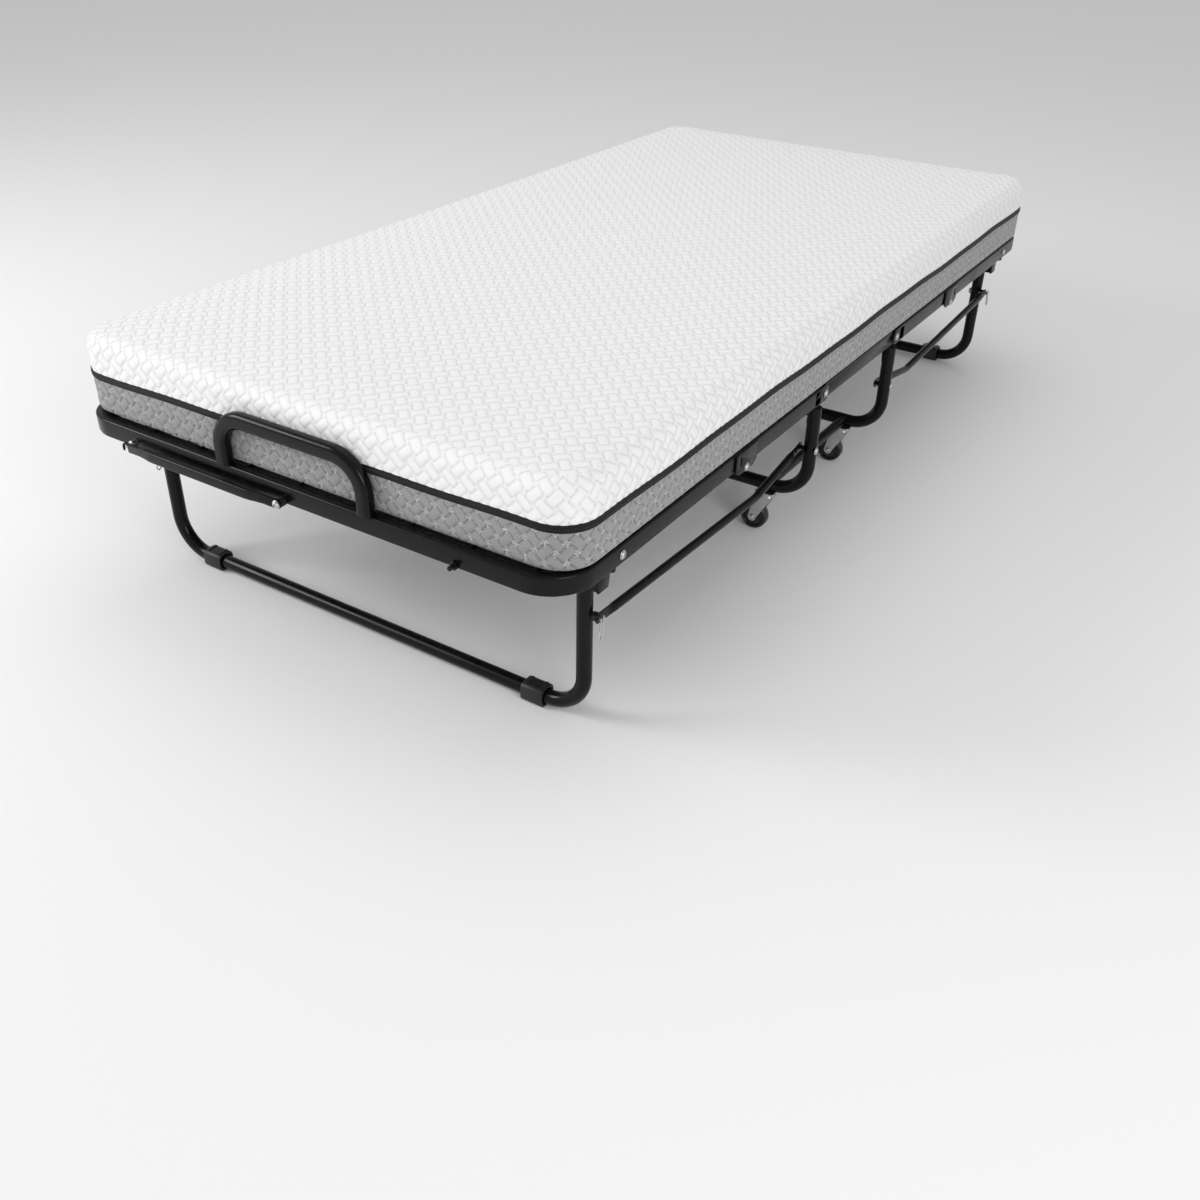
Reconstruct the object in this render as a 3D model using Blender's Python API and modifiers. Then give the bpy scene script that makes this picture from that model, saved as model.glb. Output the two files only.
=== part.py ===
"""Folding guest bed on casters: a steel tube frame in three sections under a one-piece foam mattress.

The centre section stands on two U-shaped mid legs that are tied by two caster tubes. The near half (-X)
and the far half (+X) fold up about the hinge bolts. Each half carries an end leg that stays upright,
because two link bars tie it to the mid leg: the link bars, the rails, the mid leg and the end leg make a
parallelogram. Both halves are the same piece, turned half a turn about Z, so each is modelled once, on
the +X side, and placed by an empty. X is the length, Y the width, Z is up and the floor is at Z = 0.
"""

import math

import bmesh
import bpy
from mathutils import Matrix, Vector

# Overall sizes, in metres
FRAME_LENGTH = 1.924
FRAME_WIDTH = 0.958
RAIL_AXIS_HEIGHT = 0.294

# Rails: rectangular tube, bent round at the two ends of the bed
RAIL_DEEP = 0.030
RAIL_WIDE = 0.018
END_CORNER_RADIUS = 0.072
HINGE_FROM_MIDDLE = 0.165
RAIL_JOINT_FROM_HINGE = 0.301
RAIL_JOINT_PLATE_LONG = 0.070
TONGUE_THICK = 0.003
JOINT_PLATE_BELOW_RAIL = 0.007
JOINT_WELD_INSET = 0.004

# Legs, cross tubes and link bars: round tube
LEG_TUBE = 0.024
END_LEG_PIVOT_FROM_END = 0.136
END_LEG_BEND = 0.062
MID_LEG_BEND = 0.060
LEG_PLATE = 0.004
LUG_BELOW_RAIL_TOP = 0.003
END_LEG_FROM_PIN = 0.004
MID_LEG_FROM_HINGE = 0.008
MID_LEG_BELOW_RAIL = 0.011
MID_LUG_HALF = 0.008
MID_LUG_LONG = 0.030
END_LEG_BELOW_RAIL = 0.017
END_LUG_HALF = 0.014
END_LUG_SHOULDER = 0.020
END_LUG_LONG = 0.024
END_WEB_HALF = 0.0105
LINK_DROP = 0.106
LINK_LEAN = 0.012
LINK_TUBE = 0.014
LINK_EYE_THICK = 0.003
LINK_EYE_RADIUS = 0.009
LINK_KINK_FROM_PIN = 0.170
LINK_KINK_DEPTH = 0.028
CASTER_TUBE = 0.019
CASTER_TUBE_FROM_RAIL = 0.086
CROSS_TUBE = 0.014
CROSS_TUBE_FROM_END = 0.266
FOOT_CLIP_LONG = 0.040
FOOT_CLIP_WALL = 0.004
FOOT_CLIP_FROM_BEND = 0.003

# Casters
WHEEL_RADIUS = 0.026
WHEEL_WIDE = 0.019
WHEEL_TRAIL = 0.021
FORK_PLATE = 0.003
FORK_PLATE_SIDE = 0.038
CASTER_HEIGHT = 0.0845
CROWN_ABOVE_WHEEL = 0.004
CHEEK_FROM_WHEEL = 0.0012
CROWN_BEHIND = 0.013
CROWN_AHEAD = 0.026
CHEEK_SHEET = 0.0025
SWIVEL_BOSS_RADIUS = 0.012
AXLE_RADIUS = 0.003
WHEEL_CHAMFER = 0.003

# Fasteners
BOLT_RADIUS = 0.004
BOLT_HEAD_RADIUS = 0.0072
BOLT_HEAD_THICK = 0.004

# Wire deck
WIRE = 0.003
WIRE_PITCH_ALONG = 0.105
WIRE_PITCH_ACROSS = 0.105
DECK_FROM_HINGE = 0.026

# Handle loop and latch bar at each end
HANDLE_WIDE = 0.306
HANDLE_HIGH = 0.093
HANDLE_SECTION = 0.026
HANDLE_DEEP = 0.020
HANDLE_CORNER = 0.065
HANDLE_FROM_RAIL_AXIS = 0.0035
LATCH_FROM_END = 0.013
LATCH_DEEP = 0.012
LATCH_HIGH = 0.017
LATCH_PLATE = 0.004
LATCH_BODY_FROM_PIVOT = 0.057
LATCH_BELOW_AXIS = 0.010
LATCH_EYE_INSET = 0.001
PARK_STUD_FROM_SIDE = 0.131
CATCH_STUD_FROM_SIDE = 0.179

# Mattress
MATTRESS_THICK = 0.127
MATTRESS_WIDER = 0.002
MATTRESS_CORNER = 0.060
MATTRESS_MIDDLE_FROM_HINGE = 0.018
MATTRESS_FROM_HANDLE = 0.001

# Clearances
TOUCH = 0.0003
RUN = 0.0005
LINK_RUN = 0.0025
CENTRE_TO_HALF_RAIL = 0.003
DECK_ABOVE_RAIL = 0.0008
MATTRESS_ABOVE_DECK = 0.0012
PLATE_FROM_RAIL = 0.0002

# Worked out from the sizes above
HALF_LENGTH = FRAME_LENGTH / 2
RAIL_OUT = FRAME_WIDTH / 2
RAIL_IN = RAIL_OUT - RAIL_WIDE
RAIL_TOP = RAIL_AXIS_HEIGHT + RAIL_DEEP / 2
RAIL_BOTTOM = RAIL_AXIS_HEIGHT - RAIL_DEEP / 2
LEG_RADIUS = LEG_TUBE / 2
LINK_RADIUS = LINK_TUBE / 2
HINGE = Vector((HINGE_FROM_MIDDLE, 0, RAIL_AXIS_HEIGHT))
LEG_PIVOT = Vector((HALF_LENGTH - END_LEG_PIVOT_FROM_END, 0, RAIL_AXIS_HEIGHT))
LINK_OFFSET = Vector((LINK_LEAN, 0, -LINK_DROP))
LEG_PIN = LEG_PIVOT + LINK_OFFSET
MID_PIN = HINGE + LINK_OFFSET
END_LEG_X = LEG_PIN.x + END_LEG_FROM_PIN
MID_LEG_X = HINGE.x + MID_LEG_FROM_HINGE
LINK_Y_AT_LEG = RAIL_IN - LINK_RUN - LINK_RADIUS
END_LEG_Y = LINK_Y_AT_LEG - LINK_RADIUS - LINK_RUN - LEG_RADIUS
MID_LEG_Y = RAIL_OUT - LEG_RADIUS
LINK_Y_AT_MID = MID_LEG_Y - LEG_RADIUS - RUN - LINK_RADIUS
PLATE_Y = RAIL_IN - TOUCH - LEG_PLATE / 2 - PLATE_FROM_RAIL
LUG_RADIUS = RAIL_DEEP / 2 - LUG_BELOW_RAIL_TOP
PIN_HOLE = BOLT_RADIUS + TOUCH
MID_TUBE_HEIGHT = CASTER_HEIGHT + LEG_RADIUS
CASTER_Y = RAIL_OUT - CASTER_TUBE_FROM_RAIL
CROSS_TUBE_X = HALF_LENGTH - CROSS_TUBE_FROM_END
DECK_TOP = RAIL_TOP + DECK_ABOVE_RAIL
CROSS_TUBE_HEIGHT = DECK_TOP - WIRE - TOUCH - CROSS_TUBE / 2
HANDLE_X = HALF_LENGTH - RAIL_WIDE / 2 + HANDLE_FROM_RAIL_AXIS
LATCH_X = HALF_LENGTH + LATCH_FROM_END
LATCH_HEIGHT = RAIL_AXIS_HEIGHT - LATCH_BELOW_AXIS
LATCH_REACH = 2 * HINGE_FROM_MIDDLE
PARK_STUD_Y = PARK_STUD_FROM_SIDE - RAIL_OUT
CATCH_STUD_Y = RAIL_OUT - CATCH_STUD_FROM_SIDE
LATCH_PIVOT_Y = PARK_STUD_Y + LATCH_REACH
MATTRESS_BOTTOM = DECK_TOP + MATTRESS_ABOVE_DECK
MATTRESS_END = HANDLE_X - HANDLE_DEEP / 2 - MATTRESS_FROM_HANDLE
MATTRESS_HALF_WIDTH = RAIL_OUT + MATTRESS_WIDER / 2

ROUND_SIDES = 12
ARC_STEPS = 5


def clear_scene():
    for obj in list(bpy.data.objects):
        bpy.data.objects.remove(obj, do_unlink=True)


def new_collection(name):
    collection = bpy.data.collections.new(name)
    bpy.context.scene.collection.children.link(collection)
    return collection


def make_material(name, colour, roughness, metallic=0.0):
    made = bpy.data.materials.new(name)
    made.use_nodes = True
    shader = made.node_tree.nodes["Principled BSDF"]
    shader.inputs["Base Color"].default_value = (*colour, 1)
    shader.inputs["Roughness"].default_value = roughness
    shader.inputs["Metallic"].default_value = metallic
    return made


clear_scene()
PARTS = new_collection("folding_bed")
CUTTERS = new_collection("cutters")
BLACK_STEEL = make_material("black_powder_coat", (0.012, 0.012, 0.013), 0.3)
ZINC = make_material("zinc_plate", (0.6, 0.61, 0.62), 0.35, 1.0)
BLACK_PLASTIC = make_material("black_plastic", (0.015, 0.015, 0.016), 0.5)
TREAD = make_material("caster_tread", (0.02, 0.02, 0.02), 0.6)
KNIT = make_material("mattress_knit", (0.78, 0.78, 0.78), 0.9)


# ---- shapes -------------------------------------------------------------------------------------------


def new_object(name, data):
    obj = bpy.data.objects.new(name, data)
    PARTS.objects.link(obj)
    return obj


def arc(centre, radius, start, stop, steps=ARC_STEPS):
    """Points on an arc in a plane, from the angle start to the angle stop in degrees."""
    angles = [math.radians(start + (stop - start) * i / steps) for i in range(steps + 1)]
    return [(centre[0] + radius * math.cos(a), centre[1] + radius * math.sin(a)) for a in angles]


def bent_path(corners, radius, steps=ARC_STEPS):
    """The route of a bent tube: the straight runs between corners, with each inner corner rounded."""
    route = [Vector(corners[0])]
    for before, corner, after in zip(corners, corners[1:], corners[2:]):
        corner = Vector(corner)
        back = (Vector(before) - corner).normalized()
        ahead = (Vector(after) - corner).normalized()
        half_angle = back.angle(ahead) / 2
        centre = corner + (back + ahead).normalized() * radius / math.sin(half_angle)
        first = corner + back * radius / math.tan(half_angle) - centre
        last = corner + ahead * radius / math.tan(half_angle) - centre
        sweep = first.angle(last)
        for i in range(steps + 1):
            share = i / steps
            mixed = first * math.sin((1 - share) * sweep) + last * math.sin(share * sweep)
            route.append(centre + mixed / math.sin(sweep))
    route.append(Vector(corners[-1]))
    return route


def as_mesh(obj):
    """The evaluated object as a plain mesh object with its caps welded."""
    bpy.context.view_layer.update()
    graph = bpy.context.evaluated_depsgraph_get()
    mesh = bpy.data.meshes.new_from_object(obj.evaluated_get(graph))
    mesh.transform(obj.matrix_world)
    work = bmesh.new()
    work.from_mesh(mesh)
    bmesh.ops.remove_doubles(work, verts=work.verts, dist=1e-6)
    bmesh.ops.recalc_face_normals(work, faces=work.faces)
    work.to_mesh(mesh)
    work.free()
    name = obj.name
    bpy.data.objects.remove(obj, do_unlink=True)
    made = new_object(name, mesh)
    made.name = name
    return made


def tube(name, route, radius):
    curve = bpy.data.curves.new(name, "CURVE")
    curve.dimensions = "3D"
    curve.bevel_depth = radius
    curve.bevel_resolution = 2
    curve.use_fill_caps = True
    spline = curve.splines.new("POLY")
    spline.points.add(len(route) - 1)
    for point, place in zip(spline.points, route):
        point.co = (*place, 1)
    return as_mesh(new_object(name, curve))


def plate(name, outlines, thick, turn=None, place=(0, 0, 0)):
    """Flat outlines in a plane, the first one outside and the others holes, with a thickness about it."""
    curve = bpy.data.curves.new(name, "CURVE")
    curve.dimensions = "2D"
    curve.fill_mode = "BOTH"
    curve.extrude = thick / 2
    for outline in outlines:
        spline = curve.splines.new("POLY")
        spline.points.add(len(outline) - 1)
        spline.use_cyclic_u = True
        for point, (u, v) in zip(spline.points, outline):
            point.co = (u, v, 0, 1)
    obj = new_object(name, curve)
    obj.matrix_world = Matrix.Translation(place) @ (turn or Matrix.Identity(4))
    return as_mesh(obj)


# The outline's u runs along X and its v along Z, and its thickness along Y
UPRIGHT = Matrix.Rotation(math.radians(90), 4, "X")
# The outline's u runs along Y and its v along Z, and its thickness along X
FACING_X = Matrix(((0, 0, 1, 0), (1, 0, 0, 0), (0, 1, 0, 0), (0, 0, 0, 1)))


def block(name, low, high):
    mesh = bpy.data.meshes.new(name)
    work = bmesh.new()
    bmesh.ops.create_cube(work, size=1)
    low = Vector(low)
    high = Vector(high)
    size = high - low
    bmesh.ops.scale(work, vec=size, verts=work.verts)
    bmesh.ops.translate(work, vec=(low + high) / 2, verts=work.verts)
    work.to_mesh(mesh)
    work.free()
    return new_object(name, mesh)


def rod(name, centre, axis, start, stop, radius, sides=ROUND_SIDES):
    """A cylinder along the axis X, Y or Z, from start to stop on it, through centre on the other two."""
    mesh = bpy.data.meshes.new(name)
    work = bmesh.new()
    bmesh.ops.create_cone(
        work, cap_ends=True, segments=sides, radius1=radius, radius2=radius, depth=stop - start
    )
    spin = {"X": Matrix.Rotation(math.pi / 2, 4, "Y"), "Y": UPRIGHT, "Z": Matrix.Identity(4)}[axis]
    middle = Vector(centre)
    middle["XYZ".index(axis)] = (start + stop) / 2
    bmesh.ops.transform(work, matrix=Matrix.Translation(middle) @ spin, verts=work.verts)
    work.to_mesh(mesh)
    work.free()
    return new_object(name, mesh)


def combine(base, others, operation):
    """Joins the other pieces to the base or cuts them out of it, and gives one plain mesh."""
    for index, other in enumerate(others):
        PARTS.objects.unlink(other)
        CUTTERS.objects.link(other)
        other.hide_render = True
        other.display_type = "WIRE"
        step = base.modifiers.new(f"{operation.lower()}_{index}", "BOOLEAN")
        step.operation = operation
        step.object = other
    made = as_mesh(base)
    for other in others:
        bpy.data.objects.remove(other, do_unlink=True)
    return made


def join(base, *others):
    return combine(base, others, "UNION")


def cut(base, *others):
    return combine(base, others, "DIFFERENCE")


def finish(obj, material, angle=40):
    obj.data.materials.clear()
    obj.data.materials.append(material)
    obj.data.shade_smooth()
    obj.data.set_sharp_from_angle(angle=math.radians(angle))
    return obj


# ---- bodies: an empty on each joint's axis ------------------------------------------------------------


def body(name, place=(0, 0, 0), parent=None, turn=0.0):
    empty = bpy.data.objects.new(name, None)
    empty.empty_display_size = 0.05
    PARTS.objects.link(empty)
    empty.parent = parent
    empty.location = Vector(place) - (Vector(parent["place"]) if parent else Vector())
    empty.rotation_euler.z = turn
    empty["place"] = Vector(place)
    return empty


def hang(obj, holder):
    """Puts a piece modelled in place under its body's empty, with its origin on the joint's axis."""
    place = Vector(holder["place"])
    obj.data.transform(Matrix.Translation(-place))
    obj.parent = holder
    obj.location = (0, 0, 0)
    return obj


def mirrored_copy(obj, name, holder):
    """The same piece on the other side of the bed's centreline."""
    mesh = obj.data.copy()
    work = bmesh.new()
    work.from_mesh(mesh)
    bmesh.ops.scale(work, vec=(1, -1, 1), verts=work.verts)
    bmesh.ops.reverse_faces(work, faces=work.faces)
    work.to_mesh(mesh)
    work.free()
    made = new_object(name, mesh)
    made.parent = holder
    return made


def bolt(name, centre, axis, start, stop, heads):
    """A bolt's shank from start to stop; heads lists the inner and outer face of each head or nut."""
    made = rod(name, centre, axis, start, stop, BOLT_RADIUS, 8)
    for index, (low, high, sides) in enumerate(heads):
        made = join(made, rod(f"{name}_head_{index}", centre, axis, low, high, BOLT_HEAD_RADIUS, sides))
    return finish(made, ZINC)


# ---- centre section ------------------------------------------------------------------------------------


def centre_rail():
    """The short rail between two hinge bolts, round at both ends and drilled for the bolts."""
    radius = RAIL_DEEP / 2
    outline = arc((HINGE.x, HINGE.z), radius, 90, -90, 8) + arc((-HINGE.x, HINGE.z), radius, 270, 90, 8)
    outside = RAIL_OUT - TONGUE_THICK - RUN
    middle = (outside + RAIL_IN) / 2
    made = plate("centre_rail", [outline], outside - RAIL_IN, UPRIGHT, (0, middle, 0))
    holes = [
        rod(f"hole_{x}", (x, 0, HINGE.z), "Y", RAIL_IN - 0.01, RAIL_OUT + 0.01, PIN_HOLE)
        for x in (-HINGE.x, HINGE.x)
    ]
    return finish(cut(made, *holes), BLACK_STEEL)


def mid_leg():
    """The U-shaped mid leg, with a flat lug at each top for the hinge bolt and a hole for the link pin."""
    top = RAIL_BOTTOM - MID_LEG_BELOW_RAIL
    corners = [
        (MID_LEG_X, MID_LEG_Y, top),
        (MID_LEG_X, MID_LEG_Y, MID_TUBE_HEIGHT),
        (MID_LEG_X, -MID_LEG_Y, MID_TUBE_HEIGHT),
        (MID_LEG_X, -MID_LEG_Y, top),
    ]
    made = tube("mid_leg", bent_path(corners, MID_LEG_BEND), LEG_RADIUS)
    lug = arc((HINGE.x, HINGE.z), LUG_RADIUS, 200, -20, 7)
    lug_low = top - MID_LUG_LONG
    lug += [(MID_LEG_X + MID_LUG_HALF, lug_low), (MID_LEG_X - MID_LUG_HALF, lug_low)]
    for side in (-1, 1):
        made = join(made, plate(f"lug_{side}", [lug], LEG_PLATE, UPRIGHT, (0, side * PLATE_Y, 0)))
    reach = RAIL_OUT + 0.02
    made = cut(
        made,
        rod("hinge_hole", HINGE, "Y", -reach, reach, PIN_HOLE),
        rod("pin_hole", MID_PIN, "Y", -reach, reach, PIN_HOLE),
    )
    return finish(made, BLACK_STEEL)


def caster_tube():
    reach = MID_LEG_X - LEG_RADIUS - TOUCH
    route = [(-reach, CASTER_Y, MID_TUBE_HEIGHT), (reach, CASTER_Y, MID_TUBE_HEIGHT)]
    return finish(tube("caster_tube", [Vector(p) for p in route], CASTER_TUBE / 2), BLACK_STEEL)


def hinge_bolt():
    inner = PLATE_Y - LEG_PLATE / 2 - TOUCH
    outer = RAIL_OUT + TOUCH
    heads = [(inner - BOLT_HEAD_THICK, inner, 6), (outer, outer + BOLT_HEAD_THICK, 12)]
    return bolt("hinge_bolt", HINGE, "Y", heads[0][0] - 0.002, outer + 0.002, heads)


def caster_fork(centre):
    """The zinc fork: a top plate, a swivel boss, two cheeks and the axle, its wheel trailing along +Y."""
    x, y = centre
    top = CASTER_HEIGHT - TOUCH
    side = FORK_PLATE_SIDE / 2
    crown = WHEEL_RADIUS * 2 + CROWN_ABOVE_WHEEL
    inner = WHEEL_WIDE / 2 + CHEEK_FROM_WHEEL
    sheet = CHEEK_SHEET
    made = block("fork", (x - side, y - side, top - FORK_PLATE), (x + side, y + side, top))
    made = join(made, rod("boss", (x, y, 0), "Z", crown, top - FORK_PLATE / 2, SWIVEL_BOSS_RADIUS))
    made = join(
        made,
        block(
            "crown",
            (x - inner - sheet, y - CROWN_BEHIND, crown),
            (x + inner + sheet, y + CROWN_AHEAD, crown + sheet),
        ),
    )
    axle_y = y + WHEEL_TRAIL
    cheek = arc((axle_y, WHEEL_RADIUS), 0.008, 180, 360, 6)
    cheek += [(y + 0.0258, crown + 0.001), (y - 0.010, crown + 0.001)]
    for direction in (-1, 1):
        place = (x + direction * (inner + sheet / 2), 0, 0)
        made = join(made, plate(f"cheek_{direction}", [cheek], sheet - 0.0002, FACING_X, place))
    reach = inner + sheet + 0.002
    axle = rod("axle", (x, axle_y, WHEEL_RADIUS), "X", x - reach, x + reach, AXLE_RADIUS, 8)
    return finish(join(made, axle), ZINC)


def caster_wheel(centre):
    """A solid wheel with a rounded tread, turned about its axle."""
    x, y = centre
    half = WHEEL_WIDE / 2
    bore = AXLE_RADIUS + TOUCH
    chamfer = WHEEL_CHAMFER
    profile = [(bore, half), (WHEEL_RADIUS - chamfer, half), (WHEEL_RADIUS, half - chamfer)]
    profile += [(WHEEL_RADIUS, chamfer - half), (WHEEL_RADIUS - chamfer, -half), (bore, -half)]
    mesh = bpy.data.meshes.new("wheel")
    edges = [(i, (i + 1) % len(profile)) for i in range(len(profile))]
    mesh.from_pydata([(r, 0, z) for r, z in profile], edges, [])
    obj = new_object("wheel", mesh)
    spin = obj.modifiers.new("turn", "SCREW")
    spin.steps = 24
    spin.render_steps = 24
    spin.use_merge_vertices = True
    spin.merge_threshold = 0.00001
    obj.matrix_world = Matrix.Translation((x, y + WHEEL_TRAIL, WHEEL_RADIUS)) @ Matrix.Rotation(
        math.pi / 2, 4, "Y"
    )
    return finish(as_mesh(obj), TREAD)


# ---- one half of the bed, on the +X side -----------------------------------------------------------------


def end_frame():
    """The rails' outer stretch and the end rail, one tube bent round two corners, drilled for the legs."""
    start = HINGE.x + RAIL_JOINT_FROM_HINGE + RUN
    inner_radius = END_CORNER_RADIUS - RAIL_WIDE
    corner_x = HALF_LENGTH - END_CORNER_RADIUS
    corner_y = RAIL_OUT - END_CORNER_RADIUS
    outline = [(start, -RAIL_OUT)]
    outline += arc((corner_x, -corner_y), END_CORNER_RADIUS, -90, 0)
    outline += arc((corner_x, corner_y), END_CORNER_RADIUS, 0, 90)
    outline += [(start, RAIL_OUT), (start, RAIL_IN)]
    outline += arc((corner_x, corner_y), inner_radius, 90, 0)
    outline += arc((corner_x, -corner_y), inner_radius, 0, -90)
    outline += [(start, -RAIL_IN)]
    made = plate("end_frame", [outline], RAIL_DEEP, place=(0, 0, RAIL_AXIS_HEIGHT))
    reach = RAIL_OUT + 0.02
    made = cut(made, rod("leg_hole", LEG_PIVOT, "Y", -reach, reach, PIN_HOLE))
    return finish(made, BLACK_STEEL)


def rail_stub():
    """The rail from the hinge to the end frame, with its hinge tongue and the plate over the joint."""
    radius = RAIL_DEEP / 2
    tube_start = HINGE.x + radius + CENTRE_TO_HALF_RAIL
    joint = HINGE.x + RAIL_JOINT_FROM_HINGE
    tongue_in = RAIL_OUT - TONGUE_THICK
    outline = [(HINGE.x, tongue_in), (tube_start, tongue_in), (tube_start, RAIL_IN), (joint, RAIL_IN)]
    outline += [(joint, RAIL_OUT), (HINGE.x, RAIL_OUT)]
    made = plate("rail_stub", [outline], RAIL_DEEP, place=(0, 0, RAIL_AXIS_HEIGHT))
    skin = 0.0002
    made = join(
        made, rod("tongue_end", HINGE, "Y", tongue_in + skin, RAIL_OUT - skin, radius - skin, 20)
    )
    plate_in = RAIL_OUT + TOUCH
    half_plate = RAIL_JOINT_PLATE_LONG / 2
    weld = JOINT_WELD_INSET
    pad = block(
        "pad",
        (joint - half_plate + weld, RAIL_OUT - 0.002, RAIL_BOTTOM + weld),
        (joint - weld, plate_in + 0.001, RAIL_TOP - weld),
    )
    cover = block(
        "cover",
        (joint - half_plate, plate_in, RAIL_BOTTOM - JOINT_PLATE_BELOW_RAIL),
        (joint + half_plate, plate_in + TONGUE_THICK, RAIL_TOP),
    )
    made = join(made, pad, cover)
    made = cut(made, rod("hole", HINGE, "Y", RAIL_IN - 0.02, RAIL_OUT + 0.02, PIN_HOLE))
    return finish(made, BLACK_STEEL)


def deck():
    """The welded wire grid that carries the mattress, as one flat grid with square openings."""
    start = HINGE.x + DECK_FROM_HINGE
    stop = HALF_LENGTH - RAIL_WIDE - TOUCH
    side = RAIL_IN - TOUCH
    notch = END_CORNER_RADIUS - RAIL_WIDE
    outline = [(start, -side), (stop - notch, -side), (stop, notch - side)]
    outline += [(stop, side - notch), (stop - notch, side), (start, side)]
    outlines = [outline]
    columns = round((stop - notch - start) / WIRE_PITCH_ALONG)
    rows = round(2 * side / WIRE_PITCH_ACROSS)
    step_x = (stop - notch - start - WIRE) / columns
    step_y = (2 * side - WIRE) / rows
    for i in range(columns):
        for j in range(rows):
            x = start + WIRE + i * step_x
            y = -side + WIRE + j * step_y
            right = x + step_x - WIRE
            top = y + step_y - WIRE
            outlines.append([(x, y), (x, top), (right, top), (right, y)])
    made = plate("deck", outlines, WIRE, place=(0, 0, DECK_TOP - WIRE / 2))
    return finish(made, BLACK_STEEL)


def cross_tube():
    reach = RAIL_IN - TOUCH
    route = [Vector((CROSS_TUBE_X, y, CROSS_TUBE_HEIGHT)) for y in (-reach, reach)]
    return finish(tube("cross_tube", route, CROSS_TUBE / 2), BLACK_STEEL)


def handle():
    """The loop that stands on the end rail, a flat-sided tube bent round two corners."""
    base = RAIL_TOP + TOUCH
    top = RAIL_TOP + HANDLE_HIGH
    out = HANDLE_WIDE / 2
    inner = out - HANDLE_SECTION
    bend = HANDLE_CORNER
    hollow = bend - HANDLE_SECTION
    centre_z = top - bend
    outline = [(out, base)] + arc((out - bend, centre_z), bend, 0, 90)
    outline += arc((bend - out, centre_z), bend, 90, 180) + [(-out, base), (-inner, base)]
    outline += arc((bend - out, centre_z), hollow, 180, 90) + arc((out - bend, centre_z), hollow, 90, 0)
    outline += [(inner, base)]
    made = plate("handle", [outline], HANDLE_DEEP, FACING_X, (HANDLE_X, 0, 0))
    return finish(made, BLACK_STEEL)


def leg_bolt():
    inner = PLATE_Y - LEG_PLATE / 2 - TOUCH
    outer = RAIL_OUT + TOUCH
    heads = [(inner - BOLT_HEAD_THICK, inner, 6), (outer, outer + BOLT_HEAD_THICK, 12)]
    return bolt("leg_bolt", LEG_PIVOT, "Y", heads[0][0] - 0.001, outer + 0.002, heads)


def latch_bolt():
    """The latch bar's pivot: a spacer against the end rail, the shank and an outer head."""
    face = HALF_LENGTH + TOUCH
    spacer_end = LATCH_X - LATCH_PLATE / 2 - TOUCH
    head = LATCH_X + LATCH_PLATE / 2 + TOUCH
    heads = [(face, spacer_end, 12), (head, head + BOLT_HEAD_THICK, 12)]
    return bolt("latch_bolt", (0, LATCH_PIVOT_Y, LATCH_HEIGHT), "X", face + 0.001, head + 0.002, heads)


def stud(name, y):
    """A plain stud on the end rail that a latch bar's hook drops over."""
    face = HALF_LENGTH + TOUCH
    made = rod(name, (0, y, LATCH_HEIGHT), "X", face, LATCH_X + LATCH_PLATE / 2 + 0.006, BOLT_RADIUS, 10)
    collar = rod("collar", (0, y, LATCH_HEIGHT), "X", face, face + 0.004, BOLT_HEAD_RADIUS, 10)
    return finish(join(made, collar), BLACK_STEEL)


def latch_bar():
    """The bar that ties the two folded halves: a flat-sided tube with a pivot eye and a hooked end."""
    pivot = LATCH_PIVOT_Y
    tip = PARK_STUD_Y
    low = LATCH_HEIGHT - LATCH_HIGH / 2
    high = LATCH_HEIGHT + LATCH_HIGH / 2
    middle = block(
        "latch_bar",
        (LATCH_X - LATCH_DEEP / 2, tip + LATCH_BODY_FROM_PIVOT, low),
        (LATCH_X + LATCH_DEEP / 2, pivot - LATCH_BODY_FROM_PIVOT, high),
    )
    half = LATCH_HIGH / 2 - LATCH_EYE_INSET
    outline = arc((pivot, LATCH_HEIGHT), half, -90, 90, 6)
    outline += arc((tip, LATCH_HEIGHT), half, 90, 180, 4)
    mouth = PIN_HOLE + 0.0007
    foot = low + LATCH_EYE_INSET
    outline += [(tip - half, LATCH_HEIGHT - LATCH_EYE_INSET)]
    outline += [(tip - mouth, foot), (tip - mouth, LATCH_HEIGHT)]
    outline += arc((tip, LATCH_HEIGHT), mouth, 180, 0, 6)[1:-1]
    outline += [(tip + mouth, LATCH_HEIGHT), (tip + mouth, foot)]
    strip = plate("strip", [outline], LATCH_PLATE, FACING_X, (LATCH_X, 0, 0))
    hole = rod("hole", (0, pivot, LATCH_HEIGHT), "X", LATCH_X - 0.02, LATCH_X + 0.02, PIN_HOLE)
    return finish(cut(join(middle, strip), hole), BLACK_STEEL)


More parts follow.
